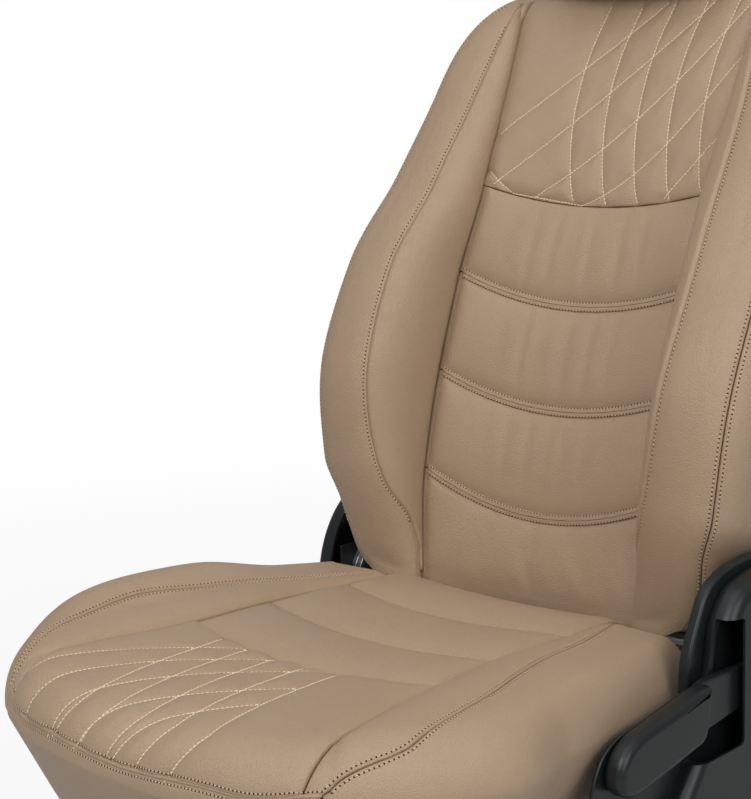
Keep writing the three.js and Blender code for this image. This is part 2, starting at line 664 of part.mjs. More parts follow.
// ---------- headrest ----------
function pebble(shrink) {
  const g = new THREE.SphereGeometry(1, 20, 12);
  const p = g.attributes.position;
  const half = [HEADREST.width, HEADREST.height, HEADREST.depth].map((v) => v / 2 - shrink);
  for (let i = 0; i < p.count; i += 1) {
    const soft = [p.getX(i), p.getY(i), p.getZ(i)].map((c) => Math.sign(c) * Math.abs(c) ** 0.72);
    p.setXYZ(i, ...soft.map((c, k) => c * half[k]));
  }
  g.rotateX(HEADREST.lean);
  return inBack(g.translate(0, HEADREST.up, HEADREST.forward));
}
function postPath() {
  const { spacing: x, depth: d, low, bend, height: h, forward } = POST;
  const straight = [low, bend - 36, bend - 18, bend].map((at) => [x, at, d]);
  const leg = [...straight, [x, bend + 20, d + 14], [x, h - 14, forward - 8]];
  const top = [[x - 6, h, forward], [x - 22, h + 4, forward + 2]];
  const half = [...leg, ...top];
  const mirrored = [...half].reverse().map(([a, b, c]) => [-a, b, c]);
  return [...half, ...mirrored].map((p) => new THREE.Vector3(...p));
}
function headrest() {
  const post = inBack(tube(postPath(), POST.radius, 44, 5));
  const channel = inBack(tube(postPath(), POST.radius + 1, 44, 5));
  add('headrest_post', post, CHROME);
  add('headrest_foam', cut(pebble(COVER + 2.4), channel), FOAM);
  add('headrest_cover', cut(pebble(0), pebble(COVER), channel), LEATHERETTE);
}
function guide(side, slotted) {
  const { radius, bore, flange, low, collar, height } = GUIDE;
  const profile2 = [[bore, low], [radius, low], [radius, collar], [flange, collar], [flange, collar + height - 2]];
  profile2.push([flange - 2, collar + height], [bore, collar + height], [bore, low]);
  const g = new THREE.LatheGeometry(profile2.map((p) => new THREE.Vector2(...p)), 20);
  const placed = inBack(g.translate(side * POST.spacing, 0, POST.depth));
  if (!slotted) return placed;
  const x = POST.spacing;
  const slot = box(x + 6.6, x + 24, collar + 1.4, collar + 5, POST.depth - 4.4, POST.depth + 4.4);
  return cut(placed, inBack(slot));
}
function lockButton() {
  const [x, h, d] = [POST.spacing, GUIDE.collar + 3.2, POST.depth];
  return inBack(box(x + 10, x + 19, h - 1.4, h + 1.4, d - 4, d + 4));
}

// ---------- backrest frame ----------
function hoop() {
  const { x, low, top, depth } = HOOP;
  const right = [[x, low], [x, 200], [x, 320], [x - 2, 420], [x - 14, 490], [x - 46, 548], [x - 100, top]];
  const left = [...right].reverse().map(([px, h]) => [-px, h]);
  const path = [...right, [0, top], ...left].map(([px, h]) => new THREE.Vector3(px, h, depth));
  return inBack(tube(path, HOOP.radius, 40, 5));
}
// One sinuous wire, swept to and fro between two ends.
function sinuous(from, to, rows, halfWidth, level) {
  const points = [];
  for (let k = 0; k <= rows; k += 1) {
    const at = lerp(from, to, k / rows);
    const side = k % 2 === 0 ? 1 : -1;
    points.push(new THREE.Vector3(-side * halfWidth, at, level), new THREE.Vector3(side * halfWidth, at, level));
  }
  return tube(points, 2, points.length * 5, 4, 0.28);
}
const HINGE_IN_BACK = HINGE.clone().applyMatrix4(BACK_FRAME.clone().invert());
function backArm(side) {
  const { y: h, z: d } = HINGE_IN_BACK;
  const around = Array.from({ length: 11 }, (_, i) => (i / 10) * Math.PI);
  const disc = around.map((a) => [h - 32 * Math.sin(a), d + 32 * Math.cos(a)]);
  const outline = [[230, -14], [80, -14], ...disc, [80, -42], [230, -42]];
  const world = outline.map(([h, d]) => backPlace(0, h, d)).map((p) => [p.y, p.z]);
  const plate = plateYZ(world, ARM.x, ARM.x + ARM.plate);
  const bored = cut(plate, rodAlongX(ARM.x - 1, ARM.x + 9, HINGE.y, HINGE.z, RECLINER.bore));
  return side > 0 ? bored : mirrorX(bored);
}
function crossMember() {
  const g = new THREE.CylinderGeometry(8, 8, 2 * ARM.x - 1, 14);
  return inBack(g.rotateZ(Math.PI / 2).translate(0, 58, HOOP.depth));
}

// ---------- recliner ----------
function reclinerDisc(side, near) {
  const { disc, radius, bore } = RECLINER;
  const g = cut(
    rodAlongX(near, near + disc, HINGE.y, HINGE.z, radius, 28),
    rodAlongX(near - 1, near + disc + 1, HINGE.y, HINGE.z, bore),
  );
  return side > 0 ? g : mirrorX(g);
}
function reclinerBracket(side) {
  const { x, plate, low, half } = BRACKET;
  const upright = box(x, x + plate, HINGE.y - half, HINGE.y + half, low, HINGE.z + 36);
  const foot = box(MEMBER.x + 3, x + plate, HINGE.y - half, HINGE.y + half, low, low + plate);
  const bore = rodAlongX(x - 1, x + plate + 1, HINGE.y, HINGE.z, RECLINER.bore);
  const g = cut(join(upright, foot), bore);
  return side > 0 ? g : mirrorX(g);
}
const fromDatum = ([y, z]) => [DATUM.y + y, DATUM.z + z];
function lever() {
  const { inner, neck, outer } = LEVER;
  const stem = [[16, 34], [-10, 42], [-150, 47], [-170, 40], [-160, 0], [-80, 8], [-10, 4], [14, 10]];
  const top = [[-150, 46], [-165, 45], [-213, 38], [-260, 32], [-280, 22], [-289, 4]];
  const under = [[-284, -12], [-266, -19], [-220, -12], [-160, -2]];
  const arm = plateYZ(stem.map(fromDatum), inner, neck, 2, 1);
  const paddle = plateYZ([...top, ...under].map(fromDatum), inner, outer, 6, 3);
  const grip = box(inner - 1, outer - 5, DATUM.y - 252, DATUM.y - 172, DATUM.z - 40, DATUM.z + 10);
  const socket = rodAlongX(inner - 1, inner + 9, HINGE.y, HINGE.z, RECLINER.rod + 0.3);
  return cut(join(arm, paddle), grip, socket);
}
function returnSpring() {
  const { coil, wire, turns, from, to } = SPRING;
  const points = Array.from({ length: 26 }, (_, i) => {
    const a = (turns * 2 * Math.PI * i) / 25;
    return new THREE.Vector3(lerp(from, to, i / 25), HINGE.y + coil * Math.cos(a), HINGE.z + coil * Math.sin(a));
  });
  return tube(points, wire, 50, 3);
}
function shield() {
  const tower = [[0, 131], [-51, 131], [-87, 128], [-108, 121], [-122, 110], [-131, 94], [-142, 72], [-148, 58]];
  const foot = [[-100, -156], [55, -156], [66, -60], [64, 40], [46, 100]];
  const plate = plateYZ([...tower, [-152, 0], [-150, -140], ...foot].map(fromDatum), SHIELD.inner, SHIELD.step, 3, 2);
  const armTop = [[-120, 40], [-165, 40], [-213, 33], [-262, 28], [-284, 18], [-298, -4], [-303, -50]];
  const armFoot = [[-298, -110], [-270, -146], [-120, -152]];
  const arm = plateYZ([...armTop, ...armFoot].map(fromDatum), ...SHIELD.arm, 1, 1);
  const bodyFront = [[-100, 116], [-124, 88], [-130, 50], [-146, 10], [-176, -30], [-216, -76], [-240, -116]];
  const body = [[-4, 124], [-60, 124], ...bodyFront, [-224, -142], [-100, -150], [50, -150], [60, -50], [56, 60]];
  const casing = plateYZ(body.map(fromDatum), SHIELD.step - 4, SHIELD.outer, 12, 3);
  const hollow = body.map(([y, z]) => [-70 + (y + 70) * 0.9, -10 + (z + 10) * 0.92]);
  const inside = plateYZ(hollow.map(fromDatum), SHIELD.inner - 1, SHIELD.outer - SHIELD.wall, 10, 2);
  const slot = box(SHIELD.arm[1] + 0.4, LEVER.outer + 2, DATUM.y - 190, DATUM.y - 100, DATUM.z - 22, DATUM.z + 92);
  return cut(join(plate, casing, arm), inside, slot);
}
function hingeCap() {
  const oval = (shrink) => Array.from({ length: 24 }, (_, i) => {
    const a = (i / 24) * 2 * Math.PI;
    const [y, z] = [(CAP.halfDepth - shrink) * Math.cos(a), (CAP.halfHeight - shrink) * Math.sin(a)];
    return fromDatum([CAP.y + y + 0.2 * z, CAP.z + z]);
  });
  const outer = plateYZ(oval(0), CAP.outer, CAP.inner, 9, 3);
  const inner = plateYZ(oval(3), CAP.outer + 3, CAP.inner + 9, 7, 2);
  return cut(outer, inner);
}

// ---------- cushion frame ----------
function sideMember(side) {
  const { x, plate, low, top, front } = MEMBER;
  const outline = [[60, low], [60, DATUM.z - 90], [-60, DATUM.z - 30], [-90, DATUM.z + top]];
  outline.push([-front + 30, DATUM.z + top], [-front, DATUM.z + top - 18], [-front + 40, low + 40], [-front + 120, low]);
  const member = plateYZ(outline.map(([y, z]) => [DATUM.y + y, z]), x - plate / 2, x + plate / 2);
  const holes = [-130, -220, -310].map((y) => rodAlongX(x - 9, x + 9, DATUM.y + y, 170, 28, 20));
  const g = cut(member, ...holes);
  return side > 0 ? g : mirrorX(g);
}
function frontPan() {
  const x = MEMBER.x - MEMBER.plate / 2 - CLEAR;
  const { front } = MEMBER;
  const sheet = box(-x, x, -front, -front + 140, -17, -15);
  const lip = box(-160, 160, -front, -front + 2, -60, -15);
  return inSeat(join(sheet, lip));
}
function rearTube() {
  const x = MEMBER.x - MEMBER.plate / 2 - CLEAR;
  return inSeat(rodAlongX(-x, x, -96, -48, 10));
}

// ---------- rails ----------
function lowerRail(side) {
  const { x, width, wall, low, high, neck, front, rear } = RAIL;
  const [x0, x1] = [x - width / 2, x + width / 2];
  const channel = box(x0, x1, front, rear, low, high);
  const hollow = box(x0 + wall, x1 - wall, front - 1, rear + 1, low + wall, high - wall);
  const mouth = box(x - neck - 1, x + neck + 1, front - 1, rear + 1, high - wall - 1, high + 1);
  const feet = [front + 8, rear - 8 - FOOT.length].flatMap((y) => [
    box(x0, x1, y, y + FOOT.length, 0, low + 1),
    box(x1 - 1, x1 + FOOT.flange, y, y + FOOT.length, 0, FOOT.plate),
  ]);
  const bores = boltPlaces().map(([bx, by]) => boltHole(bx, by));
  const g = cut(join(channel, ...feet), hollow, mouth, ...bores);
  return side > 0 ? g : mirrorX(g);
}
function boltPlaces() {
  const x = RAIL.x + RAIL.width / 2 + FOOT.flange / 2;
  return [RAIL.front + 8, RAIL.rear - 8 - FOOT.length].map((y) => [x, y + FOOT.length / 2]);
}
function boltHole(x, y) {
  const g = new THREE.CylinderGeometry(FOOT.bolt + CLEAR, FOOT.bolt + CLEAR, FOOT.plate + 4, 14);
  return g.rotateX(Math.PI / 2).translate(x, y, FOOT.plate / 2);
}
function floorBolt(x, y) {
  const shank = new THREE.CylinderGeometry(FOOT.bolt, FOOT.bolt, FOOT.plate + CLEAR + 1, 14);
  const head = new THREE.CylinderGeometry(8.5, 8.5, 6.5, 6);
  shank.rotateX(Math.PI / 2).translate(x, y, (FOOT.plate + CLEAR + 1) / 2);
  head.rotateX(Math.PI / 2).translate(x, y, FOOT.plate + CLEAR + 3.25);
  return join(shank, head);
}
function upperRail(side) {
  const { x, width, wall, low, high, neck, top, front, rear } = RAIL;
  const half = width / 2 - wall - 2;
  const slide = box(x - half, x + half, front + 15, rear - 15, low + wall + 2, high - wall - 2);
  const web = box(x - neck + 2, x + neck - 2, front + 15, rear - 15, high - wall - 3, top);
  const flange = box(x - 14, x + 14, front + 15, rear - 15, top - 3, top);
  const g = join(slide, web, flange);
  return side > 0 ? g : mirrorX(g);
}
function releaseBar() {
  const { x, pivot, front } = BAR;
  const [y, z] = [DATUM.y + pivot[0], pivot[1]];
  const half = [[x, y, z], [x, y - 120, z], [x, front + 60, z], [x - 8, front + 16, z + 2], [x - 40, front, z + 4]];
  const other = [...half].reverse().map(([px, py, pz]) => [-px, py, pz]);
  return tube([...half, ...other].map((p) => new THREE.Vector3(...p)), BAR.radius, 40, 5);
}

// ---------- assembly ----------
const SIDES = [['left', 1], ['right', -1]];
backPads();
seatPads();
add('back_side_band', backBand(), LEATHERETTE);
add('back_rear_panel', backPlate(rearOutline(3), BACK.rear - COVER, BACK.rear), LEATHERETTE);
add('back_map_pocket', mapPocket(), LEATHERETTE);
add('seat_front_skirt', seatFrontSkirt(), LEATHERETTE);
foams();
headrest();
add('headrest_lock_button', lockButton(), BLACK_PLASTIC);
add('back_frame_hoop', hoop(), STEEL);
add('back_cross_member', crossMember(), STEEL);
add('back_sinuous_spring', inBack(sinuous(110, 540, 8, 150, -12)), ZINC);
add('cushion_front_pan', frontPan(), STEEL);
add('cushion_rear_tube', rearTube(), STEEL);
add('cushion_sinuous_spring', inSeat(sinuous(-118, -284, 5, 150, -18)), ZINC);
add('recliner_cross_rod', rodAlongX(-252, LEVER.inner + 8, HINGE.y, HINGE.z, RECLINER.rod, 14), ZINC);
add('recline_lever', lever(), BLACK_PLASTIC);
add('lever_return_spring', returnSpring(), ZINC);
add('side_shield', shield(), BLACK_PLASTIC);
add('hinge_cap', hingeCap(), BLACK_PLASTIC);
add('slide_release_bar', releaseBar(), ZINC);
SIDES.forEach(([name, side]) => {
  add(`back_bolster_inner_${name}`, backInner(side), LEATHERETTE);
  add(`back_bolster_outer_${name}`, backOuter(side), LEATHERETTE);
  add(`seat_bolster_top_${name}`, seatInner(side), LEATHERETTE);
  add(`seat_side_skirt_${name}`, seatSide(side), LEATHERETTE);
  add(`headrest_guide_${name}`, guide(side, side > 0), BLACK_PLASTIC);
  add(`back_arm_${name}`, backArm(side), STEEL);
  add(`recliner_moving_${name}`, reclinerDisc(side, ARM.x + ARM.plate + CLEAR), ZINC);
  add(`recliner_fixed_${name}`, reclinerDisc(side, BRACKET.x - RECLINER.disc - CLEAR), ZINC);
  add(`recliner_bracket_${name}`, reclinerBracket(side), STEEL);
  add(`cushion_side_member_${name}`, sideMember(side), STEEL);
  add(`slide_rail_lower_${name}`, lowerRail(side), STEEL);
  add(`slide_rail_upper_${name}`, upperRail(side), STEEL);
  boltPlaces().forEach(([x, y], i) => {
    add(`floor_bolt_${['front', 'rear'][i]}_${name}`, floorBolt(side * x, y), ZINC);
  });
});

export default seat;
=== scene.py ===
"""Looks of the front car seat in its leatherette cover set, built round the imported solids.

Lengths in the geometry code are millimetres; meshes are written in metres. +Z up, the seat faces -Y.
A place on a padded face is (x, v): x across the seat, v up the backrest or forward along the cushion.
"""

import json
import math

import bmesh
import bpy
import numpy as np
from mathutils import Matrix, Vector
from mathutils.bvhtree import BVHTree


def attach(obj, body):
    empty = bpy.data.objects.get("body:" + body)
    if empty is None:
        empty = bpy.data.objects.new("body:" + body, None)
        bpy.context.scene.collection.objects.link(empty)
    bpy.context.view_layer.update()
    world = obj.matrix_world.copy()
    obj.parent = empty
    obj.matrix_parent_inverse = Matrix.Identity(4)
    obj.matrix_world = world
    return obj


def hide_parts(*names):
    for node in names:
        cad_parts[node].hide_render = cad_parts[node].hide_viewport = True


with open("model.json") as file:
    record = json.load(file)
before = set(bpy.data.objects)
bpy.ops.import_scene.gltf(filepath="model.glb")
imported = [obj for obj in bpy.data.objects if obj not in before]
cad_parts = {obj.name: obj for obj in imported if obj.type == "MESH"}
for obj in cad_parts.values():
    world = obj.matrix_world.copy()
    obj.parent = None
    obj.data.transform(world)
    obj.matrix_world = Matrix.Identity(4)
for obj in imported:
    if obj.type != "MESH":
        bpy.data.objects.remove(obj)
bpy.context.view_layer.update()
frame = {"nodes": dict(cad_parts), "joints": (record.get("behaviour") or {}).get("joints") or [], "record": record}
MM = 0.001

# ---------- driving dimensions ----------
JOINTS = {j["name"]: j for j in frame["joints"]}
HINGE = np.array(JOINTS["backrest_recline"]["pos_m"]) / MM
DATUM = HINGE - [0, 0, 22]  # where the cushion plane and the backrest plane cross
BACK_TILT = math.radians(16.5)
SEAT_TILT = math.radians(1.2)
THICK = 1.6  # of a cover
GAP = 0.15  # from a seam to the edge of a panel
REACH = 60.0  # how far a panel runs on beyond the rolled rim
FLANGE = 4.5  # how far a sewn edge turns down into its seam
ROUNDING = 2.2  # the radius a sewn edge is rounded by
STITCH_LINE = 3.7  # from a seam to the row of stitches along it
THREAD_DENT = 0.4  # how far a row of stitches pulls the leather in
# Knots are (v, value): the centre panel's half-width, the face's depth over the datum plane and the bolsters'
# rise over it. crest and power shape a bolster, roll rounds the rim, tuck draws it in at the sides.
BACK = dict(
    half=[(0, 128), (60, 136), (140, 143.5), (240, 147.5), (340, 147), (440, 139), (540, 141), (640, 145)],
    depth=[(0, 50), (60, 57), (140, 64.5), (240, 62.5), (340, 57.5), (440, 51.5), (540, 38), (640, 25)],
    rise=[(0, 7.5), (60, 29.5), (140, 62), (240, 83), (340, 71.5), (440, 40), (540, 22), (640, 14)],
    crest=58, power=2.6, fall=0.004, dish=10, roll=40, rear=-48, taper=0.0,
    tuck=dict(keep=0.66, start=(-60, -50), end=(94, 140), sides=(1, -1)),
)
BACK_SPAN = [(0, 55.5), (60, 63), (140, 68), (240, 73.5), (340, 74), (440, 68.5), (540, 57.5), (640, 44)]
BACK_LOW, BACK_TOP, SHOULDER = 34, 630, 70
OUTER_SEAM = 40 * math.radians(40)
BACK_SEAMS = [(443, 17), (350, 27), (245, 28), (142, 32)]
BACK_DOUBLE = [
    (56, 0.02), (88, 1.9), (120, 14), (180, 25), (250, 29.5), (340, 33), (430, 31.5), (520, 24), (628, 6),
]
SEAT = dict(
    half=[(60, 133), (164, 137), (270, 141.5), (359, 148), (450, 164), (560, 185)],
    depth=[(60, 54.5), (160, 58), (270, 60.5), (360, 59.5), (460, 61), (580, 60.5)],
    rise=[(60, 0), (160, 3), (270, 9.5), (360, 10.5), (460, 7.5), (560, 0)],
    crest=47.5, power=2.0, fall=0.0, dish=6, roll=48, rear=-80, taper=0.5,
    tuck=dict(keep=0.6, start=(20, 70), end=(320, 400), sides=(1,)),
    bulge=[(60, 0), (160, 2), (260, 13), (340, 15), (420, 9), (520, 0)],
)
BULGE_FROM, BULGE_OVER = 40, 45
SEAT_RIM = [
    (196, 88), (219, 180), (234.5, 300), (235, 386), (211, 441), (166, 486), (103, 508), (52, 514), (0, 516),
]
SEAT_SEAMS = [147.5, 251, 342.5]
SEAT_BOW = -16
SEAT_DOUBLE = {
    1: [(60, 0), (120, 17.5), (200, 37), (290, 52), (380, 64.5), (460, 60), (520, 24), (556, 2)],
    -1: [(60, 0), (120, 17.3), (200, 37), (290, 51.7), (360, 62), (430, 50), (500, 24), (556, 2)],
}
SEAT_FRONT = [(-150, 559), (-100, 569), (0, 578), (100, 569), (150, 559)]
CORNER = 533

# ---------- numbers and curves ----------
def profile(knots):
    """Monotone cubic through the knots, held flat outside them."""
    x, y = np.array(knots, float).T
    h, n = np.diff(x), len(x)
    s = np.diff(y) / h
    d = np.zeros(n)
    for i in range(1, n - 1):
        if s[i - 1] * s[i] > 0:
            w1, w2 = 2 * h[i] + h[i - 1], h[i] + 2 * h[i - 1]
            d[i] = (w1 + w2) / (w1 / s[i - 1] + w2 / s[i])

    def end(h0, h1, s0, s1):
        g = ((2 * h0 + h1) * s0 - h0 * s1) / (h0 + h1)
        if g * s0 <= 0:
            return 0.0
        return 3 * s0 if s0 * s1 <= 0 and abs(g) > abs(3 * s0) else g

    d[0], d[-1] = end(h[0], h[1], s[0], s[1]), end(h[-1], h[-2], s[-1], s[-2])

    def at(p):
        p = np.clip(p, x[0], x[-1])
        i = np.clip(np.searchsorted(x, p, side="right") - 1, 0, n - 2)
        t = (p - x[i]) / h[i]
        a = y[i] * (1 + 2 * t) * (1 - t) ** 2 + y[i + 1] * t * t * (3 - 2 * t)
        return a + h[i] * (d[i] * t * (1 - t) ** 2 + d[i + 1] * t * t * (t - 1))

    return at


def lerp(a, b, t):
    return a + (b - a) * t


def run_of(line):
    return np.r_[0, np.cumsum(np.linalg.norm(np.diff(line, axis=0), axis=1))]


def point_on(line, s, values=None):
    """The line, or other values given at its points, at lengths s along it."""
    run = run_of(line)
    return np.stack([np.interp(s, run, column) for column in (line if values is None else values).T], -1)


def resample(line, count):
    return point_on(line, np.linspace(0, run_of(line)[-1], count))


def catmull(points, count):
    """A smooth curve through the points, evenly spaced in the curve's own parameter."""
    p = np.array(points, float)
    t = np.linspace(0, len(p) - 1, count)
    i = np.minimum(t.astype(int), len(p) - 2)
    f = (t - i)[:, None]
    a, b, c, d = p[np.maximum(i - 1, 0)], p[i], p[i + 1], p[np.minimum(i + 2, len(p) - 1)]
    return 0.5 * (2 * b + (c - a) * f + (2 * a - 5 * b + 4 * c - d) * f**2 + (3 * b - a - 3 * c + d) * f**3)


def smooth_closed(line, passes):
    q = line[:-1]
    for _ in range(passes):
        q = (np.roll(q, 1, 0) + 2 * q + np.roll(q, -1, 0)) / 4
    return np.vstack([q, q[:1]])


def close_half(half):
    return np.vstack([half, half[:-1][::-1] * [-1, 1], half[:1]])


def circle(count):
    return np.linspace(0, 2 * math.pi, count + 1)[:-1]


def unit(v):
    return v / np.maximum(np.linalg.norm(v, axis=-1, keepdims=True), 1e-9)


# ---------- the two padded faces ----------
def back_rim():
    half, span = profile(BACK["half"]), profile(BACK_SPAN)
    straight = BACK_TOP - SHOULDER
    h = np.linspace(BACK_LOW, straight, 40)
    side = np.stack([half(h) + span(h), h], -1)
    a = np.linspace(0, math.pi / 2, 13)[1:]
    corner = np.stack([side[-1, 0] - 1.1 * SHOULDER * (1 - np.cos(a)), straight + SHOULDER * np.sin(a)], -1)
    return smooth_closed(resample(close_half(np.vstack([side, corner, [[0, BACK_TOP]]])), 161), 6)


def seat_rim():
    return smooth_closed(resample(close_half(catmull(SEAT_RIM, 121)), 161), 3)


class PaddedFace:
    """A centre panel, raised bolsters outside its side seams, a rolled rim and a wall down to the rear."""

    def __init__(self, spec, rim, up, out):
        self.__dict__.update(spec)
        self.half, self.depth, self.rise = (profile(spec[key]) for key in ("half", "depth", "rise"))
        self.fullness = profile(spec.get("bulge", [(0, 0), (1, 0), (2, 0)]))
        self.up, self.out = np.array(up), np.array(out)
        self.rim = smooth_closed(resample(rim, 481), 12)
        ring = self.rim[:-1]
        step = np.roll(ring, -1, 0) - np.roll(ring, 1, 0)
        self.normals = unit(np.stack([step[:, 1], -step[:, 0]], -1))
        self.arc = self.roll * math.pi / 2
        self.turn = np.sign(np.cross([1.0, 0, 0], self.up) @ self.out)

    def height(self, x, v):
        away = np.maximum(np.abs(x) - self.half(v), 0)
        u = np.minimum(away / self.crest, 1)
        shape = (1 - (1 - u) ** self.power) ** (1 / self.power)
        far = np.clip((-x - self.half(v) - BULGE_FROM) / BULGE_OVER, 0, 1)  # on the inboard side only
        bulging = self.fullness(v) * far * far * (3 - 2 * far)
        bolster = self.rise(v) * shape + bulging - self.fall * np.maximum(away - self.crest, 0) ** 2
        across = np.minimum(np.abs(x) / self.half(v), 1)
        return self.depth(v) + bolster - self.dish * (1 - across**2)

    def flank(self, side, t, v):
        """The x of a place t along the surface outside the centre seam, where the bolster is steep."""
        span = self.crest * 1.3
        u = 1 - np.cos(np.minimum(t / span, 1) * math.pi / 2) ** (2 / self.power)
        return side * (self.half(v) + self.crest * u + np.maximum(t - span, 0))

    def along(self, away):
        span = self.crest * 1.3
        inner = span * 2 / math.pi * np.arccos(np.clip(1 - away / self.crest, 0, 1) ** (self.power / 2))
        return np.where(away >= self.crest, span + away - self.crest, np.where(away <= 0, 0, inner))

    def on_rim(self, k):
        """The rim point and its outward normal at a position counted in rim points."""
        count = len(self.normals)
        i = np.floor(k).astype(int)
        t = (k - i)[:, None]
        a, b = i % count, (i + 1) % count
        return self.rim[a] * (1 - t) + self.rim[b] * t, unit(self.normals[a] * (1 - t) + self.normals[b] * t)

    def nearest(self, q):
        """Signed distance outside the rim, the foot on it, and the normal there, which passes through q."""
        q = np.asarray(q, float)
        some = self.rim[:-1:4]
        k = 4.0 * ((some**2).sum(1)[None] - 2 * q @ some.T).argmin(1)
        for _ in range(5):
            foot, n = self.on_rim(k)
            ahead, m = self.on_rim(k + 0.5)
            tangent = np.stack([-n[:, 1], n[:, 0]], -1)
            out = ((q - foot) * n).sum(-1)
            pace = 2 * ((ahead - foot + out[:, None] * (m - n)) * tangent).sum(-1)
            pace = np.where(np.abs(pace) < 0.3, 0.3, pace)
            k = k + np.clip(((q - foot) * tangent).sum(-1) / pace, -2.5, 2.5)
        foot, n = self.on_rim(k)
        return ((q - foot) * n).sum(-1), foot, n

    def pressed(self, foot, n):
        """The share of the rolled rim that is left where the sides are drawn in."""
        ease = lambda t: t * t * (3 - 2 * t)
        ramp = lambda r: ease(np.clip((foot[:, 1] - r[0]) / (r[1] - r[0]), 0, 1))
        share = 1 - (1 - self.tuck["keep"]) * ramp(self.tuck["start"]) * (1 - ramp(self.tuck["end"]))
        facing = ease(np.clip((np.abs(n[:, 0]) - 0.2) / 0.4, 0, 1))
        return np.where(np.isin(np.sign(foot[:, 0]), self.tuck["sides"]), 1 - (1 - share) * facing, 1.0)

    def point(self, q):
        """Places (..., 2) to points (..., 3)."""
        shape = q.shape[:-1]
        q = q.reshape(-1, 2)
        out, foot, n = self.nearest(q)
        edge = self.height(foot[:, 0], foot[:, 1])
        angle = np.clip(out / self.roll, 0, math.pi / 2)
        down = np.clip((out - self.arc) / REACH, 0, 1.2)
        wall = edge - self.roll
        level = np.where(down > 0, lerp(wall, self.rear, down), edge - self.roll * (1 - np.cos(angle)))
        inset = self.taper * np.where(down > 0, wall - level, 0)
        reach = (self.roll * np.sin(angle) * self.pressed(foot, n) - inset)[:, None]
        flat = np.where((out > 0)[:, None], foot + n * reach, q)
        level = np.where(out > 0, level, self.height(q[:, 0], q[:, 1]))
        return self.place(flat, level).reshape(*shape, 3)

    def normal(self, q, step=0.4):
        p = self.point(q)
        across, along = self.point(q + np.array([step, 0])) - p, self.point(q + np.array([0, step])) - p
        return unit(np.cross(across, along)) * self.turn

    def place(self, flat, level):
        return DATUM + flat[:, :1] * [1, 0, 0] + flat[:, 1:] * self.up + level[:, None] * self.out

    def outside(self, s, out):
        """The place a distance out from the rim at a length along it."""
        foot = point_on(self.rim, s)
        return foot + self.nearest(foot)[2] * np.asarray(out)[..., None]

    def station(self, x, v):
        fine = resample(self.rim, 9601)
        return run_of(fine)[np.linalg.norm(fine - [x, v], axis=1).argmin()]


SB, CB, SS, CS = math.sin(BACK_TILT), math.cos(BACK_TILT), math.sin(SEAT_TILT), math.cos(SEAT_TILT)
back = PaddedFace(BACK, back_rim(), (0, SB, CB), (0, -CB, SB))
seat = PaddedFace(SEAT, seat_rim(), (0, -CS, SS), (0, SS, CS))


# ---------- sewn panels ----------
def stations(length, step, edge=(0.4, 1.0, 1.9, 2.8, 3.7, 4.6, 5.6)):
    """Parameters 0 to 1 with a few extra close to both ends, where the edge turns under."""
    inner = np.linspace(edge[-1], length - edge[-1], max(int((length - 2 * edge[-1]) / step), 1) + 1)
    marks = np.r_[0, edge[:-1], inner, length - np.array(edge[:-1][::-1]), length]
    return marks / length


def grid_normals(p, flip):
    du, dv = np.gradient(p, axis=0), np.gradient(p, axis=1)
    return unit(np.cross(du, dv)) * flip


class Panel:
    """A sewn panel on a padded face. at(u, v) gives its places; seams says how its four edges are drawn in:
    each as the depth, the width of the hollow and, if not FLANGE, how far the edge turns down."""

    def __init__(self, name, face, at, step, puff, seams, stitched=()):
        self.name, self.face, self.at, self.puff = name, face, at, puff
        self.seams, self.stitched = dict(zip(("u0", "u1", "v0", "v1"), seams)), stitched
        rough = self.grid(np.linspace(0, 1, 9), np.linspace(0, 1, 9))[0]
        self.size = [np.linalg.norm(np.diff(rough, axis=k), axis=2).sum(k).mean() for k in (0, 1)]
        self.flip = 1.0 if grid_normals(rough, 1.0)[4, 4] @ self.outward(rough[4, 4]) > 0 else -1.0
        self.uu, self.vv = stations(self.size[0], step), stations(self.size[1], step)
        self.lift = lambda u, v: 0
        self.extra = lambda q: 0

    def outward(self, p):
        middle = DATUM + self.face.up * (330 if self.face is back else 250) - self.face.out * 30
        return p - middle

    def seam_normals(self, q):
        """Outward directions that neighbouring panels share: means of the normals round each place."""
        total = 0
        for step in ((2, 2), (-2, 2), (2, -2), (-2, -2)):
            total = total + self.face.normal(q + np.array(step))
        return unit(total)

    def grid(self, u, v):
        uu, vv = np.meshgrid(u, v, indexing="ij")
        q = self.at(uu, vv)
        return self.face.point(q), q

    def edges(self, p):
        """Distance in millimetres from every grid point to each of the four edges."""
        runs = [np.cumsum(np.linalg.norm(np.diff(p, axis=k), axis=2), k) for k in (0, 1)]
        su, sv = np.pad(runs[0], ((1, 0), (0, 0))), np.pad(runs[1], ((0, 0), (1, 0)))
        return dict(u0=su, u1=su[-1:] - su, v0=sv, v1=sv[:, -1:] - sv)

    def surface(self):
        p, q = self.grid(self.uu, self.vv)
        n = grid_normals(p, self.flip)
        dip, h = np.zeros(p.shape[:2]), np.zeros(p.shape[:2])
        for key, dist in self.edges(p).items():
            depth, width, *turn = self.seams[key]
            if depth <= 0:
                continue
            near = np.clip(ROUNDING - dist, 0, ROUNDING)
            here = depth * np.exp(-((dist / width) ** 1.4)) + ROUNDING - np.sqrt(ROUNDING**2 - near**2)
            dip = np.minimum(dip, -here - np.where(dist < 0.05, turn[0] if turn else FLANGE, 0))
            if key in self.stitched:
                h -= THREAD_DENT * np.exp(-(((dist - STITCH_LINE) / 1.2) ** 2))
        h = h + self.lift(self.uu, self.vv) + self.extra(q)
        p = p + n * h[..., None] + self.seam_normals(q) * dip[..., None]
        self.skin, self.skin_normals = p, grid_normals(p, self.flip)


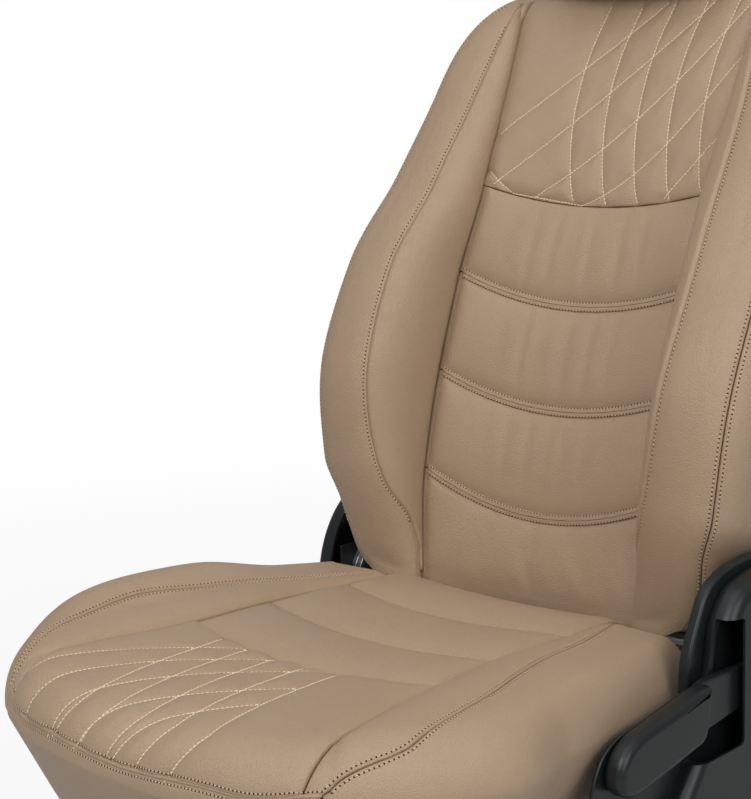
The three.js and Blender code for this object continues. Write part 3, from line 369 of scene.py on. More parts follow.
def make_mesh(name, verts, faces):
    mesh = bpy.data.meshes.new(name)
    mesh.from_pydata((np.asarray(verts) * MM).tolist(), [], [list(map(int, f)) for f in faces])
    mesh.update()
    mesh.polygons.foreach_set("use_smooth", np.ones(len(mesh.polygons), bool))
    obj = bpy.data.objects.new(name, mesh)
    bpy.context.scene.collection.objects.link(obj)
    return obj


def grid_faces(nu, nv, flip, start=0):
    i, j = np.meshgrid(np.arange(nu - 1), np.arange(nv - 1), indexing="ij")
    a = start + i * nv + j
    quad = np.stack([a, a + nv, a + nv + 1, a + 1], -1).reshape(-1, 4)
    return quad if flip > 0 else quad[:, ::-1]


def closed_sheet(name, panel, thick=THICK):
    """A sheet of even thickness behind a panel's skin."""
    p, n, flip = panel.skin, panel.skin_normals, panel.flip
    nu, nv = p.shape[:2]
    faces = [grid_faces(nu, nv, flip), grid_faces(nu, nv, -flip, nu * nv)]
    border = np.r_[np.arange(nu) * nv, (nu - 1) * nv + np.arange(1, nv)]
    border = np.r_[border, (np.arange(nu - 1)[::-1]) * nv + nv - 1, np.arange(1, nv - 1)[::-1]]
    nxt = np.roll(border, -1)
    rim = np.stack([nxt, border, border + nu * nv, nxt + nu * nv], -1)
    faces.append(rim if flip > 0 else rim[:, ::-1])
    return make_mesh(name, np.vstack([p.reshape(-1, 3), (p - n * thick).reshape(-1, 3)]), np.vstack(faces))


# ---------- cover panels ----------
def stack(x, v):
    return np.stack(np.broadcast_arrays(x, v), -1)


def centre_pad(face, low, high):
    def at(u, w):
        across = 2 * u - 1
        v = lerp(low(across) + GAP, high(across) - GAP, w)
        return stack(across * (face.half(v) - GAP), v)

    return at


def bowed(end, sag):
    return lambda across: end - sag * (1 - across**2)


back_double = profile(BACK_DOUBLE)
BOLSTER_LOW = BACK_LOW - 20
SHARE = np.linspace(0, 1, 9)


def back_top_edge(across):
    return outer_seam_over(across * back.half(BACK_TOP))


def outer_seam_over(x):
    """How far up the outer seam passes over each x."""
    h = np.full(x.shape, float(BACK_TOP))
    for _ in range(8):
        h = h + OUTER_SEAM - GAP - back.nearest(stack(x, h).reshape(-1, 2))[0].reshape(h.shape)
    return h


def bolster_top(side, t):
    return outer_seam_over(back.flank(side, t, np.full(t.shape, float(BACK_TOP))))


def back_inner(side):
    end = back.along(back_double(BACK_TOP))

    def at(u, w):
        top = np.interp(u, SHARE, bolster_top(side, lerp(GAP, end - GAP, SHARE)))
        h = lerp(BOLSTER_LOW, top, w)
        return stack(back.flank(side, lerp(GAP, back.along(back_double(h)) - GAP, u), h), h)

    return at


def back_outer(side):
    start, end = back.station(side * 200, BACK_LOW), back.station(side * 158, BACK_TOP)
    top = bolster_top(side, back.along(back_double(BACK_TOP)) + GAP + np.zeros(1))[0]

    def at(u, w):
        h = lerp(BOLSTER_LOW, top, w)
        edge = back.outside(lerp(start, end, w).ravel(), np.full(w.size, OUTER_SEAM - GAP))
        edge = edge.reshape(*w.shape, 2)
        v = lerp(h, edge[..., 1], u)
        t_edge = back.along(np.abs(edge[..., 0]) - back.half(edge[..., 1]))
        return stack(back.flank(side, lerp(back.along(back_double(h)) + GAP, t_edge, u), v), v)

    return at


def back_band(u, w):
    start, end = back.station(200, BACK_LOW + 8), back.station(-200, BACK_LOW + 8)
    out = lerp(OUTER_SEAM + GAP, back.arc + REACH, u)
    return back.outside(lerp(start, end, w).ravel(), out.ravel()).reshape(*u.shape, 2)


seat_double = {side: profile(knots) for side, knots in SEAT_DOUBLE.items()}
SEAT_REAR_EDGE = SEAT_RIM[0][1] + 8


def double_place(side, f):
    return stack(side * (seat.half(f) + seat_double[side](f)), f)


FRONT_LINE = catmull([double_place(-1, CORNER), *SEAT_FRONT, double_place(1, CORNER)], 121)


def seat_front_edge(across):
    return np.interp(across * seat.half(545), FRONT_LINE[:, 0], FRONT_LINE[:, 1])


def seat_inner(side):
    t_end = lerp(GAP, seat.along(seat_double[side](CORNER)) - GAP, SHARE)
    ends = np.interp(seat.flank(side, t_end, CORNER + 0 * SHARE), FRONT_LINE[:, 0], FRONT_LINE[:, 1]) - GAP

    def at(u, w):
        f = lerp(SEAT_REAR_EDGE, np.interp(u, SHARE, ends), w)
        t_edge = seat.along(np.maximum(seat_double[side](f), 5)) - GAP
        return stack(seat.flank(side, lerp(GAP, t_edge, u), f), f)

    return at


def seat_side(side):
    start = seat.station(side * 200, SEAT_REAR_EDGE + 6)
    end = seat.station(*double_place(side, CORNER))

    def at(u, w):
        s = lerp(start, end, w)
        f = lerp(SEAT_REAR_EDGE, CORNER, w)
        seam = double_place(side, f) + stack(side * GAP, 0.0)
        out = np.maximum(0, seat.nearest(seam.reshape(-1, 2))[0].reshape(u.shape) + 1)
        foot = seat.outside(s.ravel(), out.ravel()).reshape(seam.shape)
        down = seat.outside(s.ravel(), np.full(s.size, seat.arc + REACH)).reshape(seam.shape)
        k = u[..., None]
        return np.where(k < 0.5, lerp(seam, foot, 2 * k), lerp(foot, down, 2 * k - 1))

    return at


def front_skirt(u, w):
    start = seat.station(*double_place(-1, CORNER))
    end = seat.station(*double_place(1, CORNER))
    top = point_on(FRONT_LINE, run_of(FRONT_LINE)[-1] * lerp(0.003, 0.997, u).ravel()).reshape(*u.shape, 2)
    foot = seat.outside(lerp(start, end, u).ravel(), np.full(u.size, seat.arc + REACH)).reshape(*u.shape, 2)
    return lerp(top + [0, 2 * GAP], foot, w[..., None])


# ---------- quilting ----------
BACK_SLANTS = [  # bend, slope, height
    (0.0004, 0.89, 613), (0.0005, 0.92, 554), (0.0018, 0.87, 488), (0.0047, 0.45, 433), (0.0042, 0.38, 377),
]


def back_quilt_lines():
    """Slanted lines, steeper towards the top, crossed by gently bowed uprights."""
    low = bowed(*BACK_SEAMS[0])
    x = np.linspace(-150, 150, 120)
    slants = [stack(x, height + slope * x + bend * x**2) for bend, slope, height in BACK_SLANTS]
    h = np.linspace(400, 645, 110)
    uprights = [stack(39 * k - 49 + 0.07 * (h - 575) + 0.0015 * (h - 575) ** 2, h) for k in range(5)]
    return [clip_back(line, low) for line in slants + uprights]


def clip_back(line, low):
    half = back.half(line[:, 1])
    across = line[:, 0] / half
    keep = (np.abs(across) < 0.997) & (line[:, 1] > low(across) + 0.5) & (line[:, 1] < BACK_TOP + 12)
    return line[keep]


# Each sweep's foot on the front seam and its slope there.
SEAT_SWEEPS = [(-187, 0.3), (-140, 0.3), (-89, 0.3), (-46, 0.48), (2, 0.5)]


def seat_quilt_lines():
    """Curved lines to the front seam, crossed by lines that sweep from it and die into the last one."""
    rear = bowed(SEAT_SEAMS[2], SEAT_BOW)
    f = np.linspace(325, 584, 150)
    behind, before = np.clip((530 - f) / 190, 0, 2) ** 1.2, np.clip((f - 530) / 46, 0, 2) ** 1.2
    lean = np.where(f < 530, -29 * behind, -16 * before)
    runs = [-71 + 36.5 * k + lean for k in range(5)]
    ahead = 562 - f
    sweeps = [foot + slope * ahead + 0.0016 * ahead * np.abs(ahead) for foot, slope in SEAT_SWEEPS]
    lines = [clip_seat(stack(x, f), rear) for x in runs]
    return lines + [clip_seat(stack(x, f)[x < runs[-1] + 0.5], rear) for x in sweeps]


def clip_seat(line, rear):
    half = seat.half(line[:, 1])
    across = line[:, 0] / half
    front = np.interp(line[:, 0], FRONT_LINE[:, 0], FRONT_LINE[:, 1])
    return line[(np.abs(across) < 0.997) & (line[:, 1] > rear(across) + 0.5) & (line[:, 1] < front + 5.5)]


def distance_to(lines, q):
    flat = q.reshape(-1, 2)
    best = np.full(len(flat), 1e9)
    for line in lines:
        a, b = line[:-1], line[1:]
        ab = b - a
        for part in np.array_split(np.arange(len(flat)), max(len(flat) // 4000, 1)):
            w = flat[part][:, None] - a[None]
            t = np.clip((w * ab).sum(-1) / (ab**2).sum(-1), 0, 1)
            gap = np.linalg.norm(w - ab * t[..., None], axis=-1).min(1)
            best[part] = np.minimum(best[part], gap)
    return best.reshape(q.shape[:-1])


def quilting(lines, groove, width, pillow, spread):
    """Narrow grooves along the lines, with the leather between them standing up in pillows."""

    def extra(q):
        d = distance_to(lines, q)
        return -groove * np.exp(-((d / width) ** 1.5)) + pillow * (1 - np.exp(-((d / spread) ** 2)))

    return extra


BACK_QUILT, SEAT_QUILT = back_quilt_lines(), seat_quilt_lines()


VALLEY, OVER, DOUBLE, FELLED, HEM = (5.4, 8.5), (0.6, 2.5, 9), (1.0, 2.0), (3.8, 8), (0, 1)
DENT, LOW_SIDE = (3.4, 11), (2.6, 7)
SIDES = (("left", 1), ("right", -1))


def make_panels():
    panels = []

    def add(*args):
        panels.append(Panel(*args))
        return panels[-1]

    seams = [bowed(*s) for s in BACK_SEAMS]
    quilt = add("back_quilt_panel", back, centre_pad(back, seams[0], back_top_edge), 2.0, 4,
                (VALLEY, VALLEY, (3, 7), (2, 6)))
    quilt.extra = quilting(BACK_QUILT, 1.6, 2.2, 1.8, 10)
    lows = seams[1:] + [lambda a: BACK_LOW - 44 + 0 * a]
    for i, low in enumerate(lows):
        ends = FELLED if i < 3 else HEM, FELLED if i else (3, 7)
        add(f"back_pad_{i + 1}", back, centre_pad(back, low, seams[i]), 2.4, 7, (VALLEY, VALLEY, *ends))
    for name, side in SIDES:
        seams = OVER, DOUBLE, HEM, DOUBLE
        add(f"back_bolster_inner_{name}", back, back_inner(side), 2.4, 1.2, seams, ["u1"])
        seams = DOUBLE, DOUBLE, HEM, DOUBLE
        add(f"back_bolster_outer_{name}", back, back_outer(side), 2.6, 1.6, seams, ["u0", "u1"])
    add("back_side_band", back, back_band, 4.0, 1, (DOUBLE, (2, 8), HEM, HEM), ["u0"])
    cross = [lambda a: SEAT_RIM[0][1] - 0.9 * SEAT["roll"] + 0 * a, *(bowed(s, SEAT_BOW) for s in SEAT_SEAMS)]
    for i, name in enumerate(("rear", "middle", "front")):
        add(f"seat_pad_{name}", seat, centre_pad(seat, cross[i], cross[i + 1]), 2.4, 7,
            (LOW_SIDE, LOW_SIDE, DENT if i else HEM, DENT))
    quilt = add("seat_quilt_panel", seat, centre_pad(seat, cross[3], seat_front_edge), 2.0, 3.5,
                (LOW_SIDE, LOW_SIDE, (2, 7), (1.8, 5)))
    quilt.extra = quilting(SEAT_QUILT, 1.9, 2.4, 2.4, 11)
    for name, side in SIDES:
        seams = LOW_SIDE, DOUBLE, HEM, DOUBLE
        add(f"seat_bolster_top_{name}", seat, seat_inner(side), 2.4, 1.8, seams, ["u1"])
        seams = DOUBLE, (2, 10), HEM, (1.5, 5)
        add(f"seat_side_skirt_{name}", seat, seat_side(side), 2.8, 3, seams, ["u0"])
    add("seat_front_skirt", seat, front_skirt, 2.6, 3, ((1.5, 5), (1.5, 5), DOUBLE, (2, 10)), ["v0"])
    return panels


# ---------- padding, by cloth simulation ----------
CLOTH_STEP = 9.0
CLOTH_FRAMES = 20


def swell(panels):
    """Every panel, pinned along its seams, is blown up from behind; its lift is kept, capped at its puff."""
    jobs = []
    for panel in panels:
        counts = [max(int(s / CLOTH_STEP), 5) + 1 for s in panel.size]
        u, v = [np.linspace(0, 1, c) for c in counts]
        p, _ = panel.grid(u, v)
        n = grid_normals(p, panel.flip)
        obj = make_mesh("cloth_" + panel.name, p.reshape(-1, 3), grid_faces(*counts, panel.flip))
        edge = np.zeros(counts, bool)
        edge[[0, -1]], edge[:, [0, -1]] = True, True
        obj.vertex_groups.new(name="seam").add(np.flatnonzero(edge.ravel()).tolist(), 1.0, "REPLACE")
        cloth = obj.modifiers.new("cloth", "CLOTH").settings
        cloth.vertex_group_mass = "seam"
        cloth.use_pressure, cloth.uniform_pressure_force = True, 4.0
        cloth.effector_weights.gravity = 0
        cloth.mass, cloth.quality = 0.3, 5
        cloth.tension_stiffness = cloth.compression_stiffness = 12
        cloth.bending_stiffness = 0.8
        jobs.append((panel, obj, p, n))
    if jobs:
        for step in range(1, CLOTH_FRAMES + 1):
            bpy.context.scene.frame_set(step)
        view = bpy.context.evaluated_depsgraph_get()
        for panel, obj, p, n in jobs:
            mesh = obj.evaluated_get(view).to_mesh()
            co = np.zeros(len(mesh.vertices) * 3)
            mesh.vertices.foreach_get("co", co)
            moved = ((co.reshape(p.shape) / MM - p) * n).sum(-1)
            top = max(np.percentile(moved, 98), 1e-3)
            panel.lift = smooth_field(np.clip(moved, 0, top) * min(panel.puff / top, 3.0))
        for job in jobs:
            bpy.data.objects.remove(job[1])
        bpy.context.scene.frame_set(1)


def smooth_field(field):
    """Cubic interpolation of a coarse grid of heights over (u, v)."""
    f = np.pad(field, 1, mode="edge")
    field = (f[1:-1, 1:-1] * 4 + f[:-2, 1:-1] + f[2:, 1:-1] + f[1:-1, :-2] + f[1:-1, 2:]) / 8

    def weights(t, count):
        x = t * (count - 1)
        i = np.minimum(x.astype(int), count - 2)
        f = x - i
        w = np.zeros((len(t), count))
        terms = (-f + 2 * f**2 - f**3, 2 - 5 * f**2 + 3 * f**3, f + 4 * f**2 - 3 * f**3, -(f**2) + f**3)
        for k, value in enumerate(terms):
            np.add.at(w, (np.arange(len(t)), np.clip(i + k - 1, 0, count - 1)), value / 2)
        return w

    return lambda u, v: weights(u, field.shape[0]) @ field @ weights(v, field.shape[1]).T


# ---------- threads, strips and cords ----------
class Skin:
    """The finished outer surfaces of a set of panels, for laying threads on."""

    def __init__(self, face, panels):
        self.face = face
        verts, faces, count = [], [], 0
        for panel in panels:
            verts.append(panel.skin.reshape(-1, 3))
            faces.append(grid_faces(*panel.skin.shape[:2], panel.flip, count))
            count += len(verts[-1])
        self.tree = BVHTree.FromPolygons(np.vstack(verts).tolist(), np.vstack(faces).tolist())

    def lay(self, q):
        """Points and outward normals on the skin at places q."""
        p, n = self.face.point(q), self.face.normal(q)
        points = []
        for a, b in zip(p, n):
            hit = self.tree.ray_cast(Vector(a + b * 14), Vector(-b), 30)[0]
            points.append(a if hit is None else np.array(hit))
        points = np.array(points)
        points[1:-1] = (points[:-2] + 2 * points[1:-1] + points[2:]) / 4
        return points, n


def frames_at(points, normals, s):
    """Points, outward normals and sideways directions at lengths s along a line."""
    t = unit(point_on(points, s + 0.5) - point_on(points, s - 0.5))
    n = unit(point_on(points, s, normals))
    return point_on(points, s), n, unit(np.cross(t, n))


def rings(angles, across, up):
    """Circles of radius 1, one for each pair of directions."""
    return np.cos(angles)[None, :, None] * across[:, None] + np.sin(angles)[None, :, None] * up[:, None]


def ring_quads(m, k):
    """Quads between m rings of k points."""
    i, j = np.meshgrid(np.arange(m - 1), np.arange(k), indexing="ij")
    after = (j + 1) % k
    return np.stack([i * k + j, i * k + after, (i + 1) * k + after, (i + 1) * k + j], -1).reshape(-1, 4)


RING = circle(6)


def stitches(points, normals, pitch=4.0, length=3.0, radius=0.5):
    """Vertices and faces of a row of short stitches, each one dipping into the leather at both ends."""
    total = run_of(points)[-1]
    starts = np.arange(pitch / 2, total - length, pitch)
    along = np.array([0, 0.14, 0.5, 0.86, 1.0])
    lift, size = np.array([-0.7, 0.15, 0.5, 0.15, -0.7]), np.array([0.4, 0.85, 1, 0.85, 0.4])
    s = (starts[:, None] + along[None] * length).ravel()
    p, n, b = frames_at(points, normals, s)
    lift, size = np.tile(lift, len(starts)) * radius, np.tile(size, len(starts)) * radius
    verts = (p + n * lift[:, None])[:, None] + rings(RING, b, n) * size[:, None, None]
    caps = [[c + i for i in order] for c in (0, 24) for order in ((0, 1, 2, 3), (0, 3, 4, 5))]
    one = np.vstack([ring_quads(len(along), len(RING)), caps])
    return verts.reshape(-1, 3), (one[None] + (np.arange(len(starts)) * 30)[:, None, None]).reshape(-1, 4)


def shaded_needle_holes(points, normals, pitch=4.0, length=3.0, radius=0.95):
    """Painted hole shade: small dark lenses let into the leather between one stitch and the next."""
    marks = np.arange(pitch / 2 - (pitch - length) / 2, run_of(points)[-1], pitch)
    p, n, b = frames_at(points, normals, np.maximum(marks, 0))
    rim = (p + n * 0.22)[:, None] + rings(RING, b, 0.8 * np.cross(n, b)) * radius
    verts = np.concatenate([rim, (p + n * 0.4)[:, None], (p - n * 0.5)[:, None]], 1)
    k = np.arange(6)
    after = (k + 1) % 6
    one = np.vstack([np.stack([k, after, np.full(6, 6)], -1), np.stack([after, k, np.full(6, 7)], -1)])
    return verts.reshape(-1, 3), (one[None] + (np.arange(len(marks)) * 8)[:, None, None]).reshape(-1, 3)


def thread_piece(name, rows, body, material, hole_shades=True, **size):
    """Rows of stitches as one mesh, with painted shade for their needle holes in a second, dark material."""
    parts, faces, dark, count = [], [], [], 0
    pitch = {k: size[k] for k in ("pitch", "length") if k in size}
    for points, normals in rows:
        for index, (make, options) in enumerate([(stitches, size), (shaded_needle_holes, pitch)][: 1 + hole_shades]):
            v, f = make(points, normals, **options)
            parts.append(v)
            faces += (f + count).tolist()
            dark += [index] * len(f)
            count += len(v)
    obj = make_mesh(name, np.vstack(parts), faces)
    recalc(obj)
    dress(obj, body, "leatherette", material=material)
    # the needle-hole lenses get a dark colour that is painted shade for the inside of each hole
    if hole_shades:
        obj.data.materials.append(HOLE_SHADE)
        obj.data.polygons.foreach_set("material_index", np.array(dark, np.int32))


def cord(name, points, normals, radius, lift, sides=10):
    """A round cord laid along a line, closed at both ends."""
    s = np.linspace(0, run_of(points)[-1], max(int(run_of(points)[-1] / 2.0), 8))
    p, n, b = frames_at(points, normals, s)
    taper = np.minimum(1, np.minimum(s, s[-1] - s) / 2 + 0.3)[:, None, None]
    return ring_solid(name, (p + n * lift)[:, None] + rings(circle(sides), b, n) * radius * taper)


def ring_solid(name, p):
    """A solid skinned over rings of points, closed by a face on the first and the last."""
    m, k = p.shape[:2]
    ends = [list(range(k))[::-1], [(m - 1) * k + c for c in range(k)]]
    obj = make_mesh(name, p.reshape(-1, 3), ring_quads(m, k).tolist() + ends)
    recalc(obj)
    return obj


def recalc(obj):
    bm = bmesh.new()
    bm.from_mesh(obj.data)
    bmesh.ops.recalc_face_normals(bm, faces=bm.faces)
    bm.to_mesh(obj.data)
    bm.free()


def dress(obj, body, slot, *nodes, material=None):
    obj.data.materials.append(material or FINISH[slot])
    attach(obj, body)
    if nodes:
        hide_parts(*nodes)


STRIP_HALF, STRIP_ROW, STRIP_LIFT, STRIP_THICK = 5.4, 4.1, 0.3, 1.2


def felled_strip(index, seam):
    """The flat strip sewn over a cross seam of the backrest, with a row of stitches along both sides."""

    def at(u, w):
        across = (2 * u - 1) * 0.985
        v = seam(across) + lerp(-STRIP_HALF, STRIP_HALF, w)
        return stack(across * back.half(v), v)

    panel = Panel(f"back_strip_{index}", back, at, 2.0, 0, ((3, 5), (3, 5), (0.3, 2), (0.3, 2)))
    panel.extra = lambda q: STRIP_LIFT
    panel.surface()
    dress(closed_sheet(panel.name, panel, STRIP_THICK), "backrest", "leatherette")
    return panel


def sew_quilting(name, skin, lines, body):
    rows = [skin.lay(resample(line, int(run_of(line)[-1] / 2.2))) for line in lines if len(line) > 6]
    thread_piece(name, rows, body, THREAD_CREAM, hole_shades=False, pitch=3.9, length=3.6, radius=0.62)


def sew_back(panels):
    seams = [bowed(*s) for s in BACK_SEAMS]
    strips = [felled_strip(i + 1, seam) for i, seam in enumerate(seams[1:])]
    skin = Skin(back, panels + strips)
    x = np.linspace(-0.95, 0.95, 150)
    rows = []
    for seam in seams[1:]:
        for off in (-STRIP_ROW, STRIP_ROW):
            v = seam(x) + off
            rows.append(skin.lay(stack(x * back.half(v), v)))
    thread_piece("back_strip_threads", rows, "backrest", THREAD_TAN, pitch=3.8, length=2.5, radius=0.42)
    h = np.linspace(BACK_DOUBLE[1][0] - 6, BACK_DOUBLE[-1][0] - 12, 220)
    for name, side in SIDES:
        double = lambda off: stack(back.flank(side, back.along(back_double(h)) + off, h), h)
        s = np.linspace(back.station(side * 200, BACK_LOW + 40), back.station(side * 158, BACK_TOP), 260)
        outer = lambda off: back.outside(s, np.full(s.size, OUTER_SEAM + off))
        rows = [skin.lay(line(off)) for line in (double, outer) for off in (-STITCH_LINE, STITCH_LINE)]
        tops = np.linspace(BACK_DOUBLE[1][0] + 4, BACK_DOUBLE[-1][0] - 30, 220)
        width = np.minimum(10, 0.5 * back.along(back_double(tops)))
        rows.append(skin.lay(stack(back.flank(side, width, tops), tops)))
        thread_piece(f"back_bolster_threads_{name}", rows, "backrest", THREAD_TAN)
    sew_quilting("back_quilt_threads", skin, BACK_QUILT, "backrest")


def sew_seat(panels):
    skin = Skin(seat, panels)
    f = np.linspace(SEAT_REAR_EDGE + 30, CORNER - 3, 230)
    for name, side in SIDES:
        t = seat.along(np.maximum(seat_double[side](f), 5))
        double = lambda off: stack(seat.flank(side, t + off, f), f)
        rows = [skin.lay(double(off)) for off in (-STITCH_LINE, STITCH_LINE)]
        thread_piece(f"seat_bolster_threads_{name}", rows, "carriage", THREAD_TAN)
    line = resample(FRONT_LINE, 200)
    rows = [skin.lay(line + [0, off]) for off in (-STITCH_LINE, STITCH_LINE + 0.4)]
    thread_piece("seat_front_threads", rows, "carriage", THREAD_TAN, pitch=3.6, length=2.6)
    piping = cord("seat_front_piping", seat.point(line), seat.normal(line), 1.7, -1.5)
    dress(piping, "carriage", "leatherette")
    sew_quilting("seat_quilt_threads", skin, SEAT_QUILT, "carriage")


# ---------- other soft pieces ----------
def back_point(x, h, d):
    return back.place(np.stack([np.ravel(x), np.ravel(h)], -1), np.ravel(d)).reshape(*np.shape(x), 3)


def rear_ring(inset, count=160):
    rim = resample(back.rim, count + 1)[:-1]
    n = back.nearest(rim)[2]
    return rim + n * (BACK["roll"] * back.pressed(rim, n)[:, None] - inset)


def rounded_rectangle(x0, x1, y0, y1, r, steps=8):
    corners = [(x1 - r, y0 + r, -90), (x1 - r, y1 - r, 0), (x0 + r, y1 - r, 90), (x0 + r, y0 + r, 180)]
    turns = [(cx, cy, np.radians(start + np.linspace(0, 90, steps))) for cx, cy, start in corners]
    pts = np.vstack([stack(cx + r * np.cos(t), cy + r * np.sin(t)) for cx, cy, t in turns])
    return resample(np.vstack([pts, pts[:1]]), 161)[:-1]


def disc_sheet(ring, level, crown, edge, rings=26):
    """A crowned sheet inside a closed outline in (x, h); edge is how far its rim turns back."""
    centre = ring.mean(0)
    r = np.r_[np.linspace(0.02, 0.95, rings), 0.97, 0.985, 0.995, 1.0]
    flat = centre + (ring - centre)[None] * r[:, None, None]
    d = level - crown * (1 - r**2.6) + edge * np.clip((r - 0.95) / 0.05, 0, 1) ** 2
    return back_point(flat[..., 0], flat[..., 1], np.broadcast_to(d[:, None], flat.shape[:2]))


def rear_panel():
    outer = disc_sheet(rear_ring(2.6), BACK["rear"] - 0.6, 4.5, 2.6)
    inner = disc_sheet(rear_ring(4.0), BACK["rear"] + 1.4, 4.0, 0.4)[::-1]
    cover = ring_solid("back_rear_cover", np.vstack([outer, inner]))
    dress(cover, "backrest", "leatherette", "back_rear_panel")


def pocket():
    """The map pocket: sewn on three sides, its top edge gathered by an elastic hem."""
    ring = rounded_rectangle(-150, 150, 150, 330, 20)
    outer = disc_sheet(ring, BACK["rear"] - 6.0, 11, 4.5)
    top = np.clip((ring[:, 1] - 300) / 30, 0, 1)
    gather = 1.3 * np.sin(ring[:, 0] / 4.2) * top
    fade = np.linspace(0, 1, outer.shape[0])[:, None] ** 6
    outer = outer + back.out * (gather[None] * fade)[..., None]
    inner = disc_sheet(rounded_rectangle(-148, 148, 152, 328, 19), BACK["rear"] - 5.0, 8, 0.8)[::-1]
    sheet = ring_solid("back_pocket", np.vstack([outer, inner]))
    dress(sheet, "backrest", "leatherette", "back_map_pocket")
    for index, inset in enumerate((6, 14)):
        line = rounded_rectangle(-150 + inset, 150 - inset, 150 + inset, 330 - inset, 18)
        base = back_point(line[:, 0], line[:, 1], np.full(len(line), BACK["rear"] - 7.2 - 3.4 * index))
        normals = np.broadcast_to(-back.out, base.shape)
        thread_piece(f"back_pocket_threads_{index}", [(base, normals)], "backrest", THREAD_TAN)


HEADREST = dict(size=np.array([262, 184, 96]), up=740, forward=54, lean=math.radians(10), round=0.72)
HEADREST_SEAM = 0.42  # where the two seam loops run, as a share of half the depth from the middle


def soften(direction):
    return np.sign(direction) * np.abs(direction) ** HEADREST["round"]


def headrest_point(direction):
    x, y, z = np.moveaxis(soften(direction) * HEADREST["size"] / 2, -1, 0)
    c, s = math.cos(HEADREST["lean"]), math.sin(HEADREST["lean"])
    return back_point(x, HEADREST["up"] + c * y - s * z, HEADREST["forward"] + s * y + c * z)


def sphere(a, z):
    flat = np.sqrt(1 - z**2)
    return np.stack(np.broadcast_arrays(flat * np.cos(a), flat * np.sin(a), z), -1)


def headrest():
    a = circle(180)
    turn = np.sin(np.linspace(-1, 1, 121) * math.pi / 2)[:, None] * math.pi / 2 * 0.998
    p = headrest_point(sphere(a, np.sin(turn)))
    soft, depth = soften(np.sin(turn)), HEADREST["size"][2] / 2
    dip = sum(np.exp(-(((soft - side * HEADREST_SEAM) * depth / 3.0) ** 2)) for side in (-1, 1))
    wrinkle = 0.5 * np.sin(9 * a)[None] * np.exp(-(((np.abs(soft) - HEADREST_SEAM) * 8) ** 2))
    p = p - headrest_normals(p) * (2.6 * dip + wrinkle)[..., None]
    dress(ring_solid("headrest_leather", p), "headrest", "leatherette", "headrest_cover")
    rows = []
    for side in (-1, 1):
        for off in (-3.2, 3.2):
            level = side * HEADREST_SEAM + off / depth
            points = headrest_point(sphere(a, np.sign(level) * abs(level) ** (1 / HEADREST["round"])))
            out = unit(points - points.mean(0))
            rows.append((points - out * 1.1, out))
    thread_piece("headrest_threads", rows, "headrest", THREAD_TAN)


def headrest_normals(p):
    du = np.gradient(p, axis=0)
    dv = np.roll(p, -1, 1) - np.roll(p, 1, 1)
    n = unit(np.cross(dv, du))
    return n * np.where(((p - p.mean((0, 1))) * n).sum(-1, keepdims=True) > 0, 1, -1)


FOAM_INSET = 8.0


def foam(node, body, voxel):
    """The moulded foam under a cover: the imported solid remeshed, softened and made a little smaller."""
    obj = bpy.data.objects.new(node + "_moulded", frame["nodes"][node].data.copy())
    bpy.context.scene.collection.objects.link(obj)
    obj.data.materials.clear()
    for stage in ("solid", "even"):
        remesh = obj.modifiers.new(stage, "REMESH")
        remesh.mode, remesh.voxel_size, remesh.use_smooth_shade = "VOXEL", voxel * MM, True
        if stage == "solid":
            shrink = obj.modifiers.new("shrink", "DISPLACE")
            shrink.strength, shrink.mid_level = -FOAM_INSET * MM, 0
    relax = obj.modifiers.new("relax", "SMOOTH")
    relax.factor, relax.iterations = 0.5, 6
    apply_modifiers(obj)
    dress(obj, body, "foam", node)


def apply_modifiers(obj):
    view = bpy.context.evaluated_depsgraph_get()
    mesh = bpy.data.meshes.new_from_object(obj.evaluated_get(view))
    obj.modifiers.clear()
    obj.data = mesh


# ---------- hard parts ----------
def rounded(points, radius, steps=6):
    """A closed outline with its corners rounded."""
    p = np.array(points, float)
    out = []
    for a, v, b in zip(np.roll(p, 1, 0), p, np.roll(p, -1, 0)):
        reach = [min(radius, 0.45 * np.linalg.norm(c - v)) for c in (a, b)]
        start, end = v + unit(a - v) * reach[0], v + unit(b - v) * reach[1]
        t = np.linspace(0, 1, steps)[:, None]
        out.append((1 - t) ** 2 * start + 2 * t * (1 - t) * v + t**2 * end)
    return np.vstack(out)


def plate(name, outline, x0, x1, bevel, steps=5):
    """A plate lying in (y, z) from the datum, with rounded edges."""
    n = np.roll(outline, -1, 0) - np.roll(outline, 1, 0)
    n = unit(np.stack([n[:, 1], -n[:, 0]], -1))
    area = (outline[:, 0] * np.roll(outline[:, 1], -1) - outline[:, 1] * np.roll(outline[:, 0], -1)).sum()
    n *= 1 if area > 0 else -1
    a = np.linspace(0, math.pi / 2, steps + 1)
    inset, x = bevel * (1 - np.sin(a)), x0 + bevel * (1 - np.cos(a))
    inset, x = np.r_[inset, inset[::-1]], np.r_[x, (x0 + x1 - x)[::-1]]
    flat = outline[None] - n[None] * inset[:, None, None]
    rings = np.concatenate([np.broadcast_to(x[:, None, None], flat.shape[:2] + (1,)), flat + DATUM[1:]], -1)
    return ring_solid(name, rings)


def boolean(obj, operation, *tools):
    """Join or cut with tools, each a plate's outline, corner radius and other sizes."""
    made = [plate("tool", rounded(outline, radius), *sizes) for outline, radius, *sizes in tools]
    for tool in made:
        cut = obj.modifiers.new("cut", "BOOLEAN")
        cut.operation, cut.object, cut.solver = operation, tool, "EXACT"
    bpy.context.view_layer.update()
    apply_modifiers(obj)
    for tool in made:
        bpy.data.objects.remove(tool)


def crease(obj, angle=32):
    obj.data.polygons.foreach_set("use_smooth", np.ones(len(obj.data.polygons), bool))
    obj.data.set_sharp_from_angle(angle=math.radians(angle))
    obj.modifiers.new("normals", "WEIGHTED_NORMAL").keep_sharp = True
    return obj


